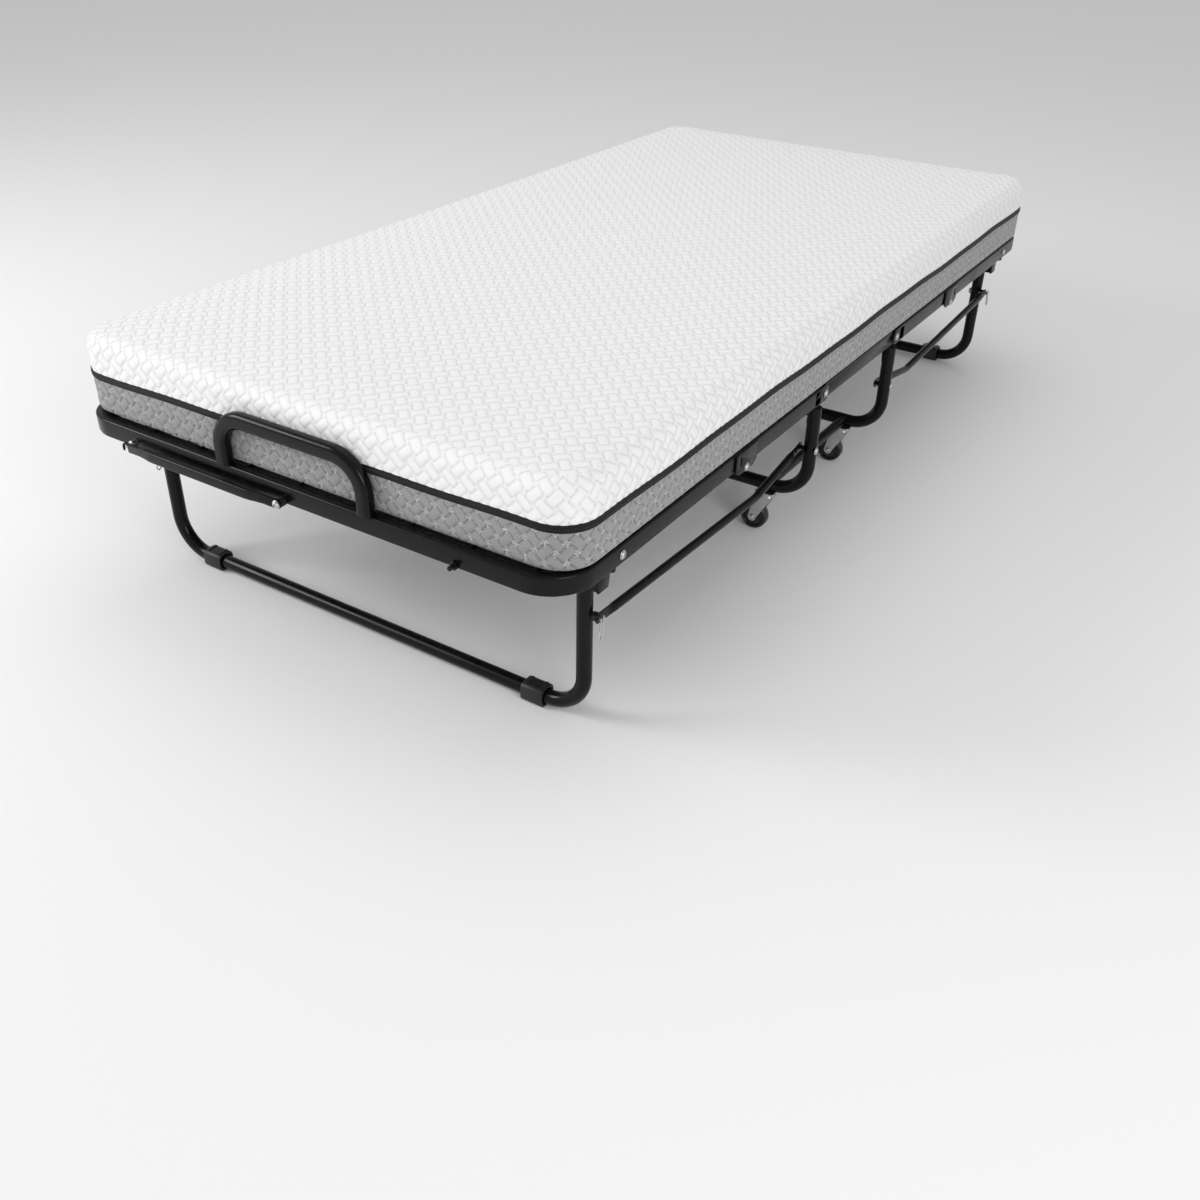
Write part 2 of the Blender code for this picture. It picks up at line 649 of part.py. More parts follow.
def end_leg():
    """The U-shaped end leg, with a pivot lug at each top and a hole through each upright for its pin."""
    top = RAIL_BOTTOM - END_LEG_BELOW_RAIL
    foot = LEG_RADIUS + FOOT_CLIP_WALL
    corners = [
        (END_LEG_X, END_LEG_Y, top),
        (END_LEG_X, END_LEG_Y, foot),
        (END_LEG_X, -END_LEG_Y, foot),
        (END_LEG_X, -END_LEG_Y, top),
    ]
    made = tube("end_leg", bent_path(corners, END_LEG_BEND), LEG_RADIUS)
    shoulder = top - END_LUG_LONG
    lug = arc((LEG_PIVOT.x, LEG_PIVOT.z), LUG_RADIUS, 200, -20, 7)
    lug += [(END_LEG_X + END_LUG_HALF, top), (END_LEG_X + END_LUG_HALF, shoulder)]
    lug += [(END_LEG_X - END_LUG_HALF, shoulder), (END_LEG_X - END_LUG_SHOULDER, top)]
    pieces = []
    for side in (-1, 1):
        pieces.append(plate(f"lug_{side}", [lug], LEG_PLATE, UPRIGHT, (0, side * PLATE_Y, 0)))
        ends = sorted((side * (END_LEG_Y + 0.004), side * (PLATE_Y + 0.001)))
        pieces.append(
            block(
                f"web_{side}",
                (END_LEG_X - END_WEB_HALF, ends[0], shoulder + 0.002),
                (END_LEG_X + END_WEB_HALF, ends[1], top - 0.0005),
            )
        )
    for piece in pieces:
        made = join(made, piece)
    reach = RAIL_OUT + 0.02
    made = cut(
        made,
        rod("pivot_hole", LEG_PIVOT, "Y", -reach, reach, PIN_HOLE),
        rod("pin_hole", LEG_PIN, "Y", -reach, reach, PIN_HOLE),
    )
    return finish(made, BLACK_STEEL)


def foot_clip():
    """The plastic foot that snaps round the end leg's bottom run."""
    y = END_LEG_Y - END_LEG_BEND - FOOT_CLIP_FROM_BEND - FOOT_CLIP_LONG / 2
    half = LEG_RADIUS + FOOT_CLIP_WALL
    made = block(
        "foot_clip",
        (END_LEG_X - half, y - FOOT_CLIP_LONG / 2, 0),
        (END_LEG_X + half, y + FOOT_CLIP_LONG / 2, 2 * half),
    )
    bore = rod("bore", (END_LEG_X, 0, half), "Y", y - 0.1, y + 0.1, LEG_RADIUS + TOUCH, 16)
    return finish(cut(made, bore), BLACK_PLASTIC)


def link_pin():
    """The clevis pin through the end leg and the link bar's eye; the spring clip goes through its tip."""
    inner = END_LEG_Y - LEG_RADIUS - TOUCH
    heads = [(inner - BOLT_HEAD_THICK, inner, 12)]
    return bolt("link_pin", LEG_PIN, "Y", inner - 0.001, RAIL_IN - 0.001, heads)


def link_bar():
    """A tube with flattened ends and a kink, and the pin that is riveted into its end at the mid leg."""
    leg_end = Vector((LEG_PIN.x, LINK_Y_AT_LEG, LEG_PIN.z))
    mid_end = Vector((MID_PIN.x, LINK_Y_AT_MID, MID_PIN.z))
    share = LINK_KINK_FROM_PIN / (leg_end.x - mid_end.x)
    kink = mid_end.lerp(leg_end, share) - Vector((0, 0, LINK_KINK_DEPTH))
    flat = 0.022
    start = leg_end + (kink - leg_end).normalized() * flat
    stop = mid_end + (kink - mid_end).normalized() * flat
    made = tube("link_bar", bent_path([start, kink, stop], 0.08, 3), LINK_RADIUS)
    for name, eye, inward in (("leg", leg_end, kink - leg_end), ("mid", mid_end, kink - mid_end)):
        slope = math.degrees(math.atan2(inward.z, inward.x))
        neck = arc((eye.x, eye.z), LINK_EYE_RADIUS, slope + 60, slope + 300, 8)
        along = Vector((inward.x, inward.z)).normalized()
        across = Vector((-along.y, along.x)) * LINK_RADIUS * 0.55
        far = Vector((eye.x, eye.z)) + along * (flat + 0.012)
        neck += [tuple(far - across), tuple(far + across)]
        made = join(made, plate(f"{name}_eye", [neck], LINK_EYE_THICK, UPRIGHT, (0, eye.y, 0)))
    made = cut(made, rod("hole", leg_end, "Y", leg_end.y - 0.02, leg_end.y + 0.02, PIN_HOLE))
    rivet = rod("rivet", mid_end, "Y", mid_end.y - 0.003, RAIL_OUT + 0.003, BOLT_RADIUS, 8)
    head = rod("head", mid_end, "Y", RAIL_OUT + TOUCH, RAIL_OUT + 0.004, BOLT_HEAD_RADIUS)
    made = join(made, rivet)
    return finish(join(made, head), BLACK_STEEL)


def mattress_part(start, stop, round_end):
    """A stretch of the mattress; its end corners are round where the stretch holds the bed's end."""
    wide = MATTRESS_HALF_WIDTH
    outline = [(start, -wide)]
    if round_end:
        corner_x = stop - MATTRESS_CORNER
        corner_y = wide - MATTRESS_CORNER
        outline += arc((corner_x, -corner_y), MATTRESS_CORNER, -90, 0)
        outline += arc((corner_x, corner_y), MATTRESS_CORNER, 0, 90)
    else:
        outline += [(stop, -wide), (stop, wide)]
    outline += [(start, wide)]
    middle = MATTRESS_BOTTOM + MATTRESS_THICK / 2
    return finish(plate("mattress", [outline], MATTRESS_THICK, place=(0, 0, middle)), KNIT)


# ---- assembly --------------------------------------------------------------------------------------------


def add_pair(shape, name, holder, turned):
    """A piece on both long sides: the modelled one on +Y and its mirror; left is the bed's +Y side."""
    first, second = ("right", "left") if turned else ("left", "right")
    shape.name = f"{name}_{first}"
    hang(shape, holder)
    mirrored_copy(shape, f"{name}_{second}", holder)


def build_centre():
    centre = body("centre_frame")
    add_pair(centre_rail(), "centre_rail", centre, False)
    add_pair(caster_tube(), "caster_tube", centre, False)
    middle = HINGE.x + MATTRESS_MIDDLE_FROM_HINGE
    mattress = hang(mattress_part(-middle, middle, False), centre)
    mattress.name = "mattress_centre"
    return centre


def build_casters(centre):
    for end, x in (("near", -MID_LEG_X), ("far", MID_LEG_X)):
        for side, y in (("left", CASTER_Y), ("right", -CASTER_Y)):
            swivel = body(f"{end}_{side}_swivel", (x, y, 0), centre)
            fork = hang(caster_fork((x, y)), swivel)
            fork.name = f"{end}_caster_fork_{side}"
            roll = body(f"{end}_{side}_roll", (x, y + WHEEL_TRAIL, WHEEL_RADIUS), swivel)
            wheel = hang(caster_wheel((x, y)), roll)
            wheel.name = f"{end}_caster_wheel_{side}"


def build_half(end, turned, centre):
    """Everything at one end, under empties that stand on the hinge, leg, link and latch axes."""
    base = body(f"{end}_end", (0, 0, 0), centre, math.pi if turned else 0.0)
    half = body(f"{end}_half", HINGE, base)
    leg = body(f"{end}_leg", LEG_PIVOT, half)
    links = body(f"{end}_links", MID_PIN, base)
    latch = body(f"{end}_latch", (LATCH_X, LATCH_PIVOT_Y, LATCH_HEIGHT), half)
    add_pair(hinge_bolt(), f"{end}_hinge_bolt", base, turned)
    singles = [(mid_leg(), "mid_leg", base), (end_frame(), "end_frame", half), (deck(), "deck", half)]
    singles += [(cross_tube(), "cross_tube", half), (handle(), "handle", half)]
    singles += [(latch_bolt(), "latch_bolt", half), (end_leg(), "end_leg", leg)]
    singles += [(latch_bar(), "latch_bar", latch)]
    singles += [(stud("park_stud", PARK_STUD_Y), "park_stud", half)]
    singles += [(stud("catch_stud", CATCH_STUD_Y), "catch_stud", half)]
    mattress_start = HINGE.x + MATTRESS_MIDDLE_FROM_HINGE + TOUCH
    singles += [(mattress_part(mattress_start, MATTRESS_END, True), "mattress", half)]
    for shape, name, holder in singles:
        hang(shape, holder)
        shape.name = f"{end}_{name}"
    add_pair(rail_stub(), f"{end}_rail_stub", half, turned)
    add_pair(leg_bolt(), f"{end}_leg_bolt", half, turned)
    add_pair(foot_clip(), f"{end}_foot_clip", leg, turned)
    add_pair(link_pin(), f"{end}_link_pin", leg, turned)
    add_pair(link_bar(), f"{end}_link_bar", links, turned)


def main():
    centre = build_centre()
    build_casters(centre)
    build_half("near", True, centre)
    build_half("far", False, centre)


main()
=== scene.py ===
# %% [markdown]
# # A folding guest bed
# The bed is a black steel frame in three sections under one long foam mattress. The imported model
# already says where every rail, leg and wheel is and how it moves. This notebook keeps those places and
# gives each piece its fine shape and its finish. Lengths are in metres, X runs along the bed, Y across
# it and Z up. Both ends are the same, turned half a turn about Z, so an end piece is made once, at the
# far end, and copied.

# %% Load the frame
import math

import bmesh
import bpy
import numpy as np
from mathutils import Matrix, Vector


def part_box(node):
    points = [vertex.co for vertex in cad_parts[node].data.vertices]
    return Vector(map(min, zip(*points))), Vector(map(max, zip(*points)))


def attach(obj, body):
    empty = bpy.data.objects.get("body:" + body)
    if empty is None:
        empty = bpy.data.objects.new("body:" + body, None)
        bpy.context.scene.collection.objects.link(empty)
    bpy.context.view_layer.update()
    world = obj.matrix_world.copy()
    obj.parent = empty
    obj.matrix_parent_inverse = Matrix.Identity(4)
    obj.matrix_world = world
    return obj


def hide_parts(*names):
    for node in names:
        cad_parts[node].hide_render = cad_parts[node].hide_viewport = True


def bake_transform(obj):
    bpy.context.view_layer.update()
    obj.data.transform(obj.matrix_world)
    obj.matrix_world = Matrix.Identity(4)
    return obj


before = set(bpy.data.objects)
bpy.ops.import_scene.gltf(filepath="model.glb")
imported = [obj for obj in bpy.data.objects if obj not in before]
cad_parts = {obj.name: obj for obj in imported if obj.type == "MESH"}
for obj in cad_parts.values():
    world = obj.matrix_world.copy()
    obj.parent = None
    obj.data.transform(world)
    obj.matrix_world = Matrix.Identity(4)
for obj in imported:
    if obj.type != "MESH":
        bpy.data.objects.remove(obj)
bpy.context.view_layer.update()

# %% [markdown]
# ## Where things are
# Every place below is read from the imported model, so a longer bed would still be dressed properly. Only
# sizes that a box can't tell, such as a tube's radius, are written here.

# %% Places read from the frame
LEG_RADIUS = 0.012
LINK_RADIUS = 0.007
CASTER_TUBE_RADIUS = 0.0095
CROSS_TUBE_RADIUS = 0.007
BOLT_RADIUS = 0.004
HEAD_THICK = 0.004
LUG_THICK = 0.004
PLATE_THICK = 0.003
TOUCH = 0.0003

end_low, end_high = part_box("far_end_frame")
centre_low, centre_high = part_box("centre_rail_left")
clip_low, clip_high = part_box("far_foot_clip_left")
pin_low, pin_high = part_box("far_link_pin_left")
mid_low, mid_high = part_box("far_mid_leg")
RAIL_TOP = end_high.z
RAIL_LOW = end_low.z
RAIL_Z = (RAIL_TOP + RAIL_LOW) / 2
RAIL_DEEP = RAIL_TOP - RAIL_LOW
RAIL_OUT = end_high.y
RAIL_IN = centre_low.y
RAIL_WIDE = RAIL_OUT - RAIL_IN
RAIL_Y = (RAIL_OUT + RAIL_IN) / 2
END_X = end_high.x
HINGE_X = centre_high.x - RAIL_DEEP / 2
JOINT_X = end_low.x
LEG_PIN = Vector(((pin_low.x + pin_high.x) / 2, 0, (pin_low.z + pin_high.z) / 2))
LEG_BOLT_X = sum(corner.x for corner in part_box("far_leg_bolt_left")) / 2
MID_PIN = Vector((HINGE_X + LEG_PIN.x - LEG_BOLT_X, 0, LEG_PIN.z))
END_LEG = Vector(((clip_low.x + clip_high.x) / 2, pin_low.y + HEAD_THICK + TOUCH + LEG_RADIUS, 0))
MID_LEG = Vector((mid_high.x - LEG_RADIUS, mid_high.y - LEG_RADIUS, mid_low.z + LEG_RADIUS))
LUG_Y = RAIL_IN - LUG_THICK / 2 - 0.0005
print(f"hinge bolts at x {HINGE_X:.3f}, leg bolts at x {LEG_BOLT_X:.3f}, rails at z {RAIL_Z:.3f}")

# %% [markdown]
# ## Camera, floor and light
# The camera stands off the near right-hand corner, a little above the bed, so the long side runs away
# from it. A pale floor and broad, soft lights show black steel by the thin bright lines on its edges.

# %% Camera
CAMERA_PLACE = (-2.027, -1.207, 1.132)
CAMERA_YAW = math.radians(32.67)
CAMERA_PITCH = math.radians(32.92)
CAMERA_ROLL = math.radians(-0.97)
CAMERA_LENS = 36.42
CAMERA_SHIFT = (0.0039, -0.0013)

ahead = Vector((math.cos(CAMERA_YAW), math.sin(CAMERA_YAW), -math.tan(CAMERA_PITCH))).normalized()
level = ahead.cross(Vector((0, 0, 1))).normalized()
down = ahead.cross(level)
right = level * math.cos(CAMERA_ROLL) + down * math.sin(CAMERA_ROLL)
above = level * math.sin(CAMERA_ROLL) - down * math.cos(CAMERA_ROLL)
camera = bpy.data.objects.new("camera", bpy.data.cameras.new("camera"))
camera.data.lens = CAMERA_LENS
camera.data.shift_x, camera.data.shift_y = CAMERA_SHIFT
camera.matrix_world = Matrix.Translation(CAMERA_PLACE) @ Matrix((right, above, -ahead)).transposed().to_4x4()
bpy.context.scene.collection.objects.link(camera)
bpy.context.scene.camera = camera

# %% Colour and node helpers


def srgb(code):
    """A hex colour as the linear values that shaders work in."""
    shares = [int(code[k : k + 2], 16) / 255 for k in (1, 3, 5)]
    return (*[c / 12.92 if c <= 0.04045 else ((c + 0.055) / 1.055) ** 2.4 for c in shares], 1.0)


def add(tree, kind, *values, named=None, **settings):
    """Adds a node. Values fill its sockets in order, or by name; a node stands for its first output."""
    made = tree.nodes.new(kind)
    for key, value in settings.items():
        setattr(made, key, value)
    for key, value in [*enumerate(values), *(named or {}).items()]:
        if isinstance(value, bpy.types.Node):
            value = value.outputs[0]
        if isinstance(value, bpy.types.NodeSocket):
            tree.links.new(value, made.inputs[key])
        elif value is not None:
            made.inputs[key].default_value = value
    return made


def new_finish(name, colour, roughness, **sockets):
    """A material with its uniform values set on the shader itself."""
    made = bpy.data.materials.new(name)
    made.use_nodes = True
    shader = made.node_tree.nodes["Principled BSDF"]
    shader.inputs["Base Color"].default_value = srgb(colour)
    shader.inputs["Roughness"].default_value = roughness
    for key, value in sockets.items():
        shader.inputs[key.replace("_", " ")].default_value = value
    return made, made.node_tree, shader


# %% Floor and lights
FLOOR_SIDE = 40
ROOM_STRENGTH = 0.56

floor_mesh = bpy.data.meshes.new("floor")
work = bmesh.new()
bmesh.ops.create_grid(work, x_segments=1, y_segments=1, size=FLOOR_SIDE / 2)
work.to_mesh(floor_mesh)
work.free()
floor = bpy.data.objects.new("floor", floor_mesh)
floor_finish, tree, shader = new_finish("pale_studio_floor", "#F4F4F4", 0.8)
floor_mesh.materials.append(floor_finish)
bpy.context.scene.collection.objects.link(floor)

world = bpy.data.worlds.new("studio")
world.use_nodes = True
room = world.node_tree.nodes["Background"].inputs
room["Color"].default_value = srgb("#FFFFFF")
room["Strength"].default_value = ROOM_STRENGTH
bpy.context.scene.world = world
bpy.context.scene.view_settings.view_transform = "Standard"

# Name, place, target, side in metres, power in watts
SOFT_BOXES = [
    ("key_light", (-2.6, 2.9, 2.1), (0, 0, 0.3), 1.6, 74),
    ("front_light", (-2.2, -3.4, 1.9), (-0.2, 0, 0.3), 1.8, 50),
    ("top_light", (0.6, 0.2, 3.6), (0.2, 0, 0), 2.6, 15),
]
for name, place, target, side, power in SOFT_BOXES:
    lamp = bpy.data.lights.new(name, "AREA")
    lamp.size = side
    lamp.energy = power
    holder = bpy.data.objects.new(name, lamp)
    holder.location = place
    holder.rotation_euler = (Vector(target) - Vector(place)).to_track_quat("-Z", "Y").to_euler()
    bpy.context.scene.collection.objects.link(holder)
print("lights:", [row[0] for row in SOFT_BOXES])

# %% [markdown]
# ## Black powder coat
# The frame is mild steel tube, sprayed with black polyester powder and baked. The powder flows into a
# smooth, glossy skin with a faint orange peel about a millimetre across, so its highlights are bright but
# soft at the rim. The coat is a dielectric, not a metal: near-black colour, a gloss that wanders a
# little, and a very shallow bump.

# %% Powder coat
ORANGE_PEEL = 0.0012

powder_coat, tree, shader = new_finish("black_powder_coated_steel", "#070708", 0.26, Specular_IOR_Level=0.2)
place = add(tree, "ShaderNodeTexCoord").outputs["Object"]
cloud = add(tree, "ShaderNodeTexNoise", place, named={"Scale": 14.0, "Detail": 3.0})
gloss = add(tree, "ShaderNodeMapRange", cloud, 0.3, 0.7, 0.18, 0.32)
tree.links.new(gloss.outputs[0], shader.inputs["Roughness"])
dust = add(tree, "ShaderNodeMix", cloud, data_type="RGBA", named={6: srgb("#050506"), 7: srgb("#0D0D0E")})
tree.links.new(dust.outputs[2], shader.inputs["Base Color"])
peel = add(tree, "ShaderNodeTexNoise", place, named={"Scale": 1 / ORANGE_PEEL, "Detail": 1.0})
bump = add(tree, "ShaderNodeBump", named={"Strength": 0.25, "Distance": 0.0001, "Height": peel.outputs[0]})
tree.links.new(bump.outputs[0], shader.inputs["Normal"])

# %% [markdown]
# ## Bright zinc
# Bolts, caster forks and spring clips are zinc-plated and passivated. The bath leaves a bluish silver
# with a faint yellow cast in patches, and fine tumbling marks that break up the shine.

# %% Zinc plate
zinc_plate, tree, shader = new_finish("bright_zinc_plate", "#C3C8CB", 0.3, Metallic=1.0)
place = add(tree, "ShaderNodeTexCoord").outputs["Object"]
patches = add(tree, "ShaderNodeTexNoise", place, named={"Scale": 90.0, "Detail": 4.0})
cast = add(tree, "ShaderNodeMix", patches, data_type="RGBA", named={6: srgb("#B9C2CB"), 7: srgb("#D2CFC4")})
tree.links.new(cast.outputs[2], shader.inputs["Base Color"])
marks = add(tree, "ShaderNodeTexNoise", place, named={"Scale": 700.0, "Detail": 2.0})
dull = add(tree, "ShaderNodeMapRange", marks, 0.3, 0.7, 0.2, 0.42)
tree.links.new(dull.outputs[0], shader.inputs["Roughness"])

# %% [markdown]
# ## Moulded black parts
# The foot clips and spacers are nylon from an eroded mould, which leaves a satin skin with a grain about
# half a millimetre wide. The caster wheels are hard polyurethane, poured against polished steel, so they
# are darker and glossier, with a little dust on the tread.

# %% Nylon and polyurethane
NYLON_GRAIN = 0.0005

black_nylon, tree, shader = new_finish("moulded_black_nylon", "#151516", 0.48)
place = add(tree, "ShaderNodeTexCoord").outputs["Object"]
grain = add(tree, "ShaderNodeTexNoise", place, named={"Scale": 1 / NYLON_GRAIN, "Detail": 2.0})
bump = add(tree, "ShaderNodeBump", named={"Strength": 0.4, "Distance": 0.0001, "Height": grain.outputs[0]})
tree.links.new(bump.outputs[0], shader.inputs["Normal"])

wheel_urethane, tree, shader = new_finish("poured_black_polyurethane", "#0B0B0C", 0.22)
place = add(tree, "ShaderNodeTexCoord").outputs["Object"]
scuff = add(tree, "ShaderNodeTexNoise", place, named={"Scale": 160.0, "Detail": 5.0})
worn = add(tree, "ShaderNodeMapRange", scuff, 0.4, 0.7, 0.16, 0.45)
tree.links.new(worn.outputs[0], shader.inputs["Roughness"])
dusty = add(tree, "ShaderNodeMix", scuff, data_type="RGBA", named={6: srgb("#090909"), 7: srgb("#1B1B1B")})
tree.links.new(dusty.outputs[2], shader.inputs["Base Color"])

# %% [markdown]
# ## Shaping helpers
# Most of the frame is tube: a section carried along a bent route. One function rounds a route's
# corners, one carries a section along it, and one makes flat plates from an outline, with a 2D curve
# whose bevel rounds the sheared edges. Pieces that are turned on a lathe are rings about an axis.

# %% Routes, sections and lofts


def bent(corners, radius, steps=14):
    """A route through corners, with each inner corner rounded to the radius."""
    route = [Vector(corners[0])]
    for before, corner, after in zip(corners, corners[1:], corners[2:]):
        corner = Vector(corner)
        back = (Vector(before) - corner).normalized()
        onward = (Vector(after) - corner).normalized()
        half = back.angle(onward) / 2
        centre = corner + (back + onward).normalized() * radius / math.sin(half)
        first = corner + back * radius / math.tan(half) - centre
        last = corner + onward * radius / math.tan(half) - centre
        sweep = first.angle(last)
        for k in range(steps + 1):
            share = k / steps
            mixed = first * math.sin((1 - share) * sweep) + last * math.sin(share * sweep)
            route.append(centre + mixed / math.sin(sweep))
    route.append(Vector(corners[-1]))
    return route


def circle(radius, sides=24):
    turns = [math.tau * k / sides for k in range(sides)]
    return [(radius * math.cos(t), radius * math.sin(t)) for t in turns]


def box_section(wide, high, radius, steps=4):
    """A rectangle with round corners, as a loop of points about its middle."""
    radius = min(radius, wide / 2.001, high / 2.001)
    loop = []
    for quarter, (sx, sy) in enumerate(((1, 1), (-1, 1), (-1, -1), (1, -1))):
        for k in range(steps + 1):
            turn = math.pi / 2 * (quarter + k / steps)
            u = sx * (wide / 2 - radius) + radius * math.cos(turn)
            v = sy * (high / 2 - radius) + radius * math.sin(turn)
            loop.append((u, v))
    return loop


def loft(rings, joined=False):
    """A skin over rings of points; joined goes round from the last ring to the first."""
    made = bmesh.new()
    loops = [[made.verts.new(point) for point in ring] for ring in rings]
    pairs = list(zip(loops, loops[1:]))
    if joined:
        pairs.append((loops[-1], loops[0]))
    for first, second in pairs:
        for k in range(len(first)):
            made.faces.new((first[k - 1], first[k], second[k], second[k - 1]))
    if not joined:
        made.faces.new(loops[0])
        made.faces.new(loops[-1])
    return made


def sweep(route, section, across):
    """A section carried along a flat route. Across is the direction that the route never bends in."""
    side = Vector(across)
    last = len(route) - 1
    rings = []
    for k, point in enumerate(route):
        onward = (route[min(k + 1, last)] - route[max(k - 1, 0)]).normalized()
        out = side.cross(onward)
        shape = section(k / last) if callable(section) else section
        rings.append([point + side * u + out * v for u, v in shape])
    return loft(rings)


def turned(profile, sides=32, ring=False):
    """Rings about Z; profile is (radius, height) pairs. A ring profile closes on itself, with a bore."""
    rings = [[Vector((x, y, z)) for x, y in circle(r, sides)] for r, z in profile]
    return loft(rings, ring)


def aimed(shape, place, axis):
    """Turns a shape made along Z to point along an axis, and moves it to its place."""
    turn = Vector(axis).to_track_quat("Z", "Y").to_matrix().to_4x4()
    bmesh.ops.transform(shape, matrix=Matrix.Translation(place) @ turn, verts=shape.verts)
    return shape


# %% Plates, and shapes made into one mesh
WELD = 0.00001
SHARP_ANGLE = math.radians(38)


def arc(centre, radius, start, stop, steps=10):
    turns = [math.radians(start + (stop - start) * k / steps) for k in range(steps + 1)]
    return [(centre[0] + radius * math.cos(t), centre[1] + radius * math.sin(t)) for t in turns]


# An outline's two directions are X and Z here, and its thickness runs along Y
UPRIGHT = Matrix.Rotation(math.radians(90), 4, "X")
# Here they are Y and Z, and the thickness runs along X
FACING_X = Matrix(((0, 0, 1, 0), (1, 0, 0, 0), (0, 1, 0, 0), (0, 0, 0, 1)))


def evaluated_mesh(obj):
    """The object as it is evaluated, as a plain mesh; the object goes."""
    bpy.context.view_layer.update()
    graph = bpy.context.evaluated_depsgraph_get()
    mesh = bpy.data.meshes.new_from_object(obj.evaluated_get(graph))
    bpy.data.objects.remove(obj, do_unlink=True)
    return mesh


def as_shape(mesh):
    """A mesh as a shape that can still be worked on."""
    shape = bmesh.new()
    shape.from_mesh(mesh)
    return shape


def flat_plate(outlines, thick, edge, turn=None, place=(0, 0, 0)):
    """A sheared plate with rounded edges. The first outline is its rim and the others are holes."""
    curve = bpy.data.curves.new("plate", "CURVE")
    curve.dimensions = "2D"
    curve.fill_mode = "BOTH"
    curve.extrude = thick / 2 - edge
    curve.bevel_depth = edge
    curve.bevel_resolution = 1
    curve.offset = -edge
    for outline in outlines:
        spline = curve.splines.new("POLY")
        spline.points.add(len(outline) - 1)
        spline.use_cyclic_u = True
        for point, (u, v) in zip(spline.points, outline):
            point.co = (u, v, 0, 1)
    holder = bpy.data.objects.new("plate", curve)
    bpy.context.scene.collection.objects.link(holder)
    mesh = evaluated_mesh(holder)
    made = as_shape(mesh)
    bpy.data.meshes.remove(mesh)
    bmesh.ops.remove_doubles(made, verts=made.verts, dist=WELD)
    matrix = Matrix.Translation(place) @ (turn or Matrix.Identity(4))
    bmesh.ops.transform(made, matrix=matrix, verts=made.verts)
    return made


def one_mesh(name, *shapes):
    """The shapes as one mesh, faces outward, smooth but for its sharp edges."""
    whole = bmesh.new()
    for shape in shapes:
        part = bpy.data.meshes.new("part")
        shape.to_mesh(part)
        shape.free()
        whole.from_mesh(part)
        bpy.data.meshes.remove(part)
    bmesh.ops.recalc_face_normals(whole, faces=whole.faces)
    mesh = bpy.data.meshes.new(name)
    whole.to_mesh(mesh)
    whole.free()
    mesh.shade_smooth()
    mesh.set_sharp_from_angle(angle=SHARP_ANGLE)
    return mesh


# %% Putting pieces on their bodies
HALF_TURN = Matrix.Rotation(math.pi, 4, "Z")
ACROSS = Matrix.Scale(-1, 4, (0, 1, 0))
ENDS = {"far": Matrix.Identity(4), "near": HALF_TURN}
CORNERS = [
    ("far", "left", Matrix.Identity(4)),
    ("far", "right", ACROSS),
    ("near", "right", HALF_TURN),
    ("near", "left", HALF_TURN @ ACROSS),
]


def copy_at(mesh, matrix):
    """The mesh at another end or side, with its faces still outward where it is mirrored."""
    made = mesh.copy()
    made.transform(matrix)
    if matrix.determinant() < 0:
        made.flip_normals()
    return made


def put(name, mesh, finish, body, slot, *stands_for):
    """A finished piece: it has its material, rides on its body and stands for these CAD nodes."""
    mesh.materials.clear()
    mesh.materials.append(finish)
    piece = bpy.data.objects.new(name, mesh)
    bpy.context.scene.collection.objects.link(piece)
    if body:
        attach(piece, body)
    if stands_for:
        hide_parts(*stands_for)
    return piece


def put_copies(places, name, mesh, finish, body, slot, *nodes):
    """A copy at each place, which is (end, ending of its name, matrix)."""
    for end, ending, matrix in places:
        stands_for = [f"{end}_{node}{ending}" for node in nodes]
        owner = body if body == "centre_frame" else f"{end}_{body}"
        put(f"{end}_{name}{ending}", copy_at(mesh, matrix), finish, owner, slot, *stands_for)


def put_at_ends(*piece):
    put_copies([(end, "", matrix) for end, matrix in ENDS.items()], *piece)


def put_at_corners(*piece):
    put_copies([(end, f"_{side}", matrix) for end, side, matrix in CORNERS], *piece)


# %% [markdown]
# ## Rails
# The rails are cold-rolled rectangular tube. Each end frame is one length bent round two corners; a
# straight stub joins it to the hinge under a cover plate. The roll leaves the tube's four edges round,
# to about a tenth of its depth, and that radius draws the thin bright line along a rail, so the section
# is a rounded rectangle carried along the route.

# %% End frames
TUBE_EDGE = 0.0032
END_BEND = 0.063
NUB_RADIUS = 0.006
NUB_FROM_BOLT = 0.012

rail_section = box_section(RAIL_DEEP, RAIL_WIDE, TUBE_EDGE)
axis_x = END_X - RAIL_WIDE / 2
end_corners = [(JOINT_X, RAIL_Y, RAIL_Z), (axis_x, RAIL_Y, RAIL_Z)]
end_corners += [(axis_x, -RAIL_Y, RAIL_Z), (JOINT_X, -RAIL_Y, RAIL_Z)]
shapes = [sweep(bent(end_corners, END_BEND, 24), rail_section, (0, 0, 1))]
for side in (-1, 1):
    nub = turned([(NUB_RADIUS, 0.001), (NUB_RADIUS, -0.006), (0.0045, -0.0085), (0.002, -0.0095)], 20)
    shapes.append(aimed(nub, (LEG_BOLT_X + NUB_FROM_BOLT, side * RAIL_Y, RAIL_LOW), (0, 0, 1)))
mesh = one_mesh("end_frame", *shapes)
put_at_ends("end_frame_tube", mesh, powder_coat, "half", "black_steel", "end_frame")
print("end frame tube:", len(mesh.polygons), "faces")

# %% [markdown]
# The stub's hinge end is closed down to a flat tongue that laps over the centre rail, and a pressed
# plate with a slot covers its other end. Plates come from an outline, because the round hinge end and
# the slot are then just arcs and four points.

# %% Rail stubs and centre rails
TONGUE_LONG = 0.040
JOINT_PLATE_HALF = 0.035
JOINT_PLATE_BELOW = 0.007
JOINT_PLATE_CHAMFER = 0.012
SLOT_FROM_JOINT = 0.020
SLOT_HIGH = 0.012
SLOT_WIDE = 0.004

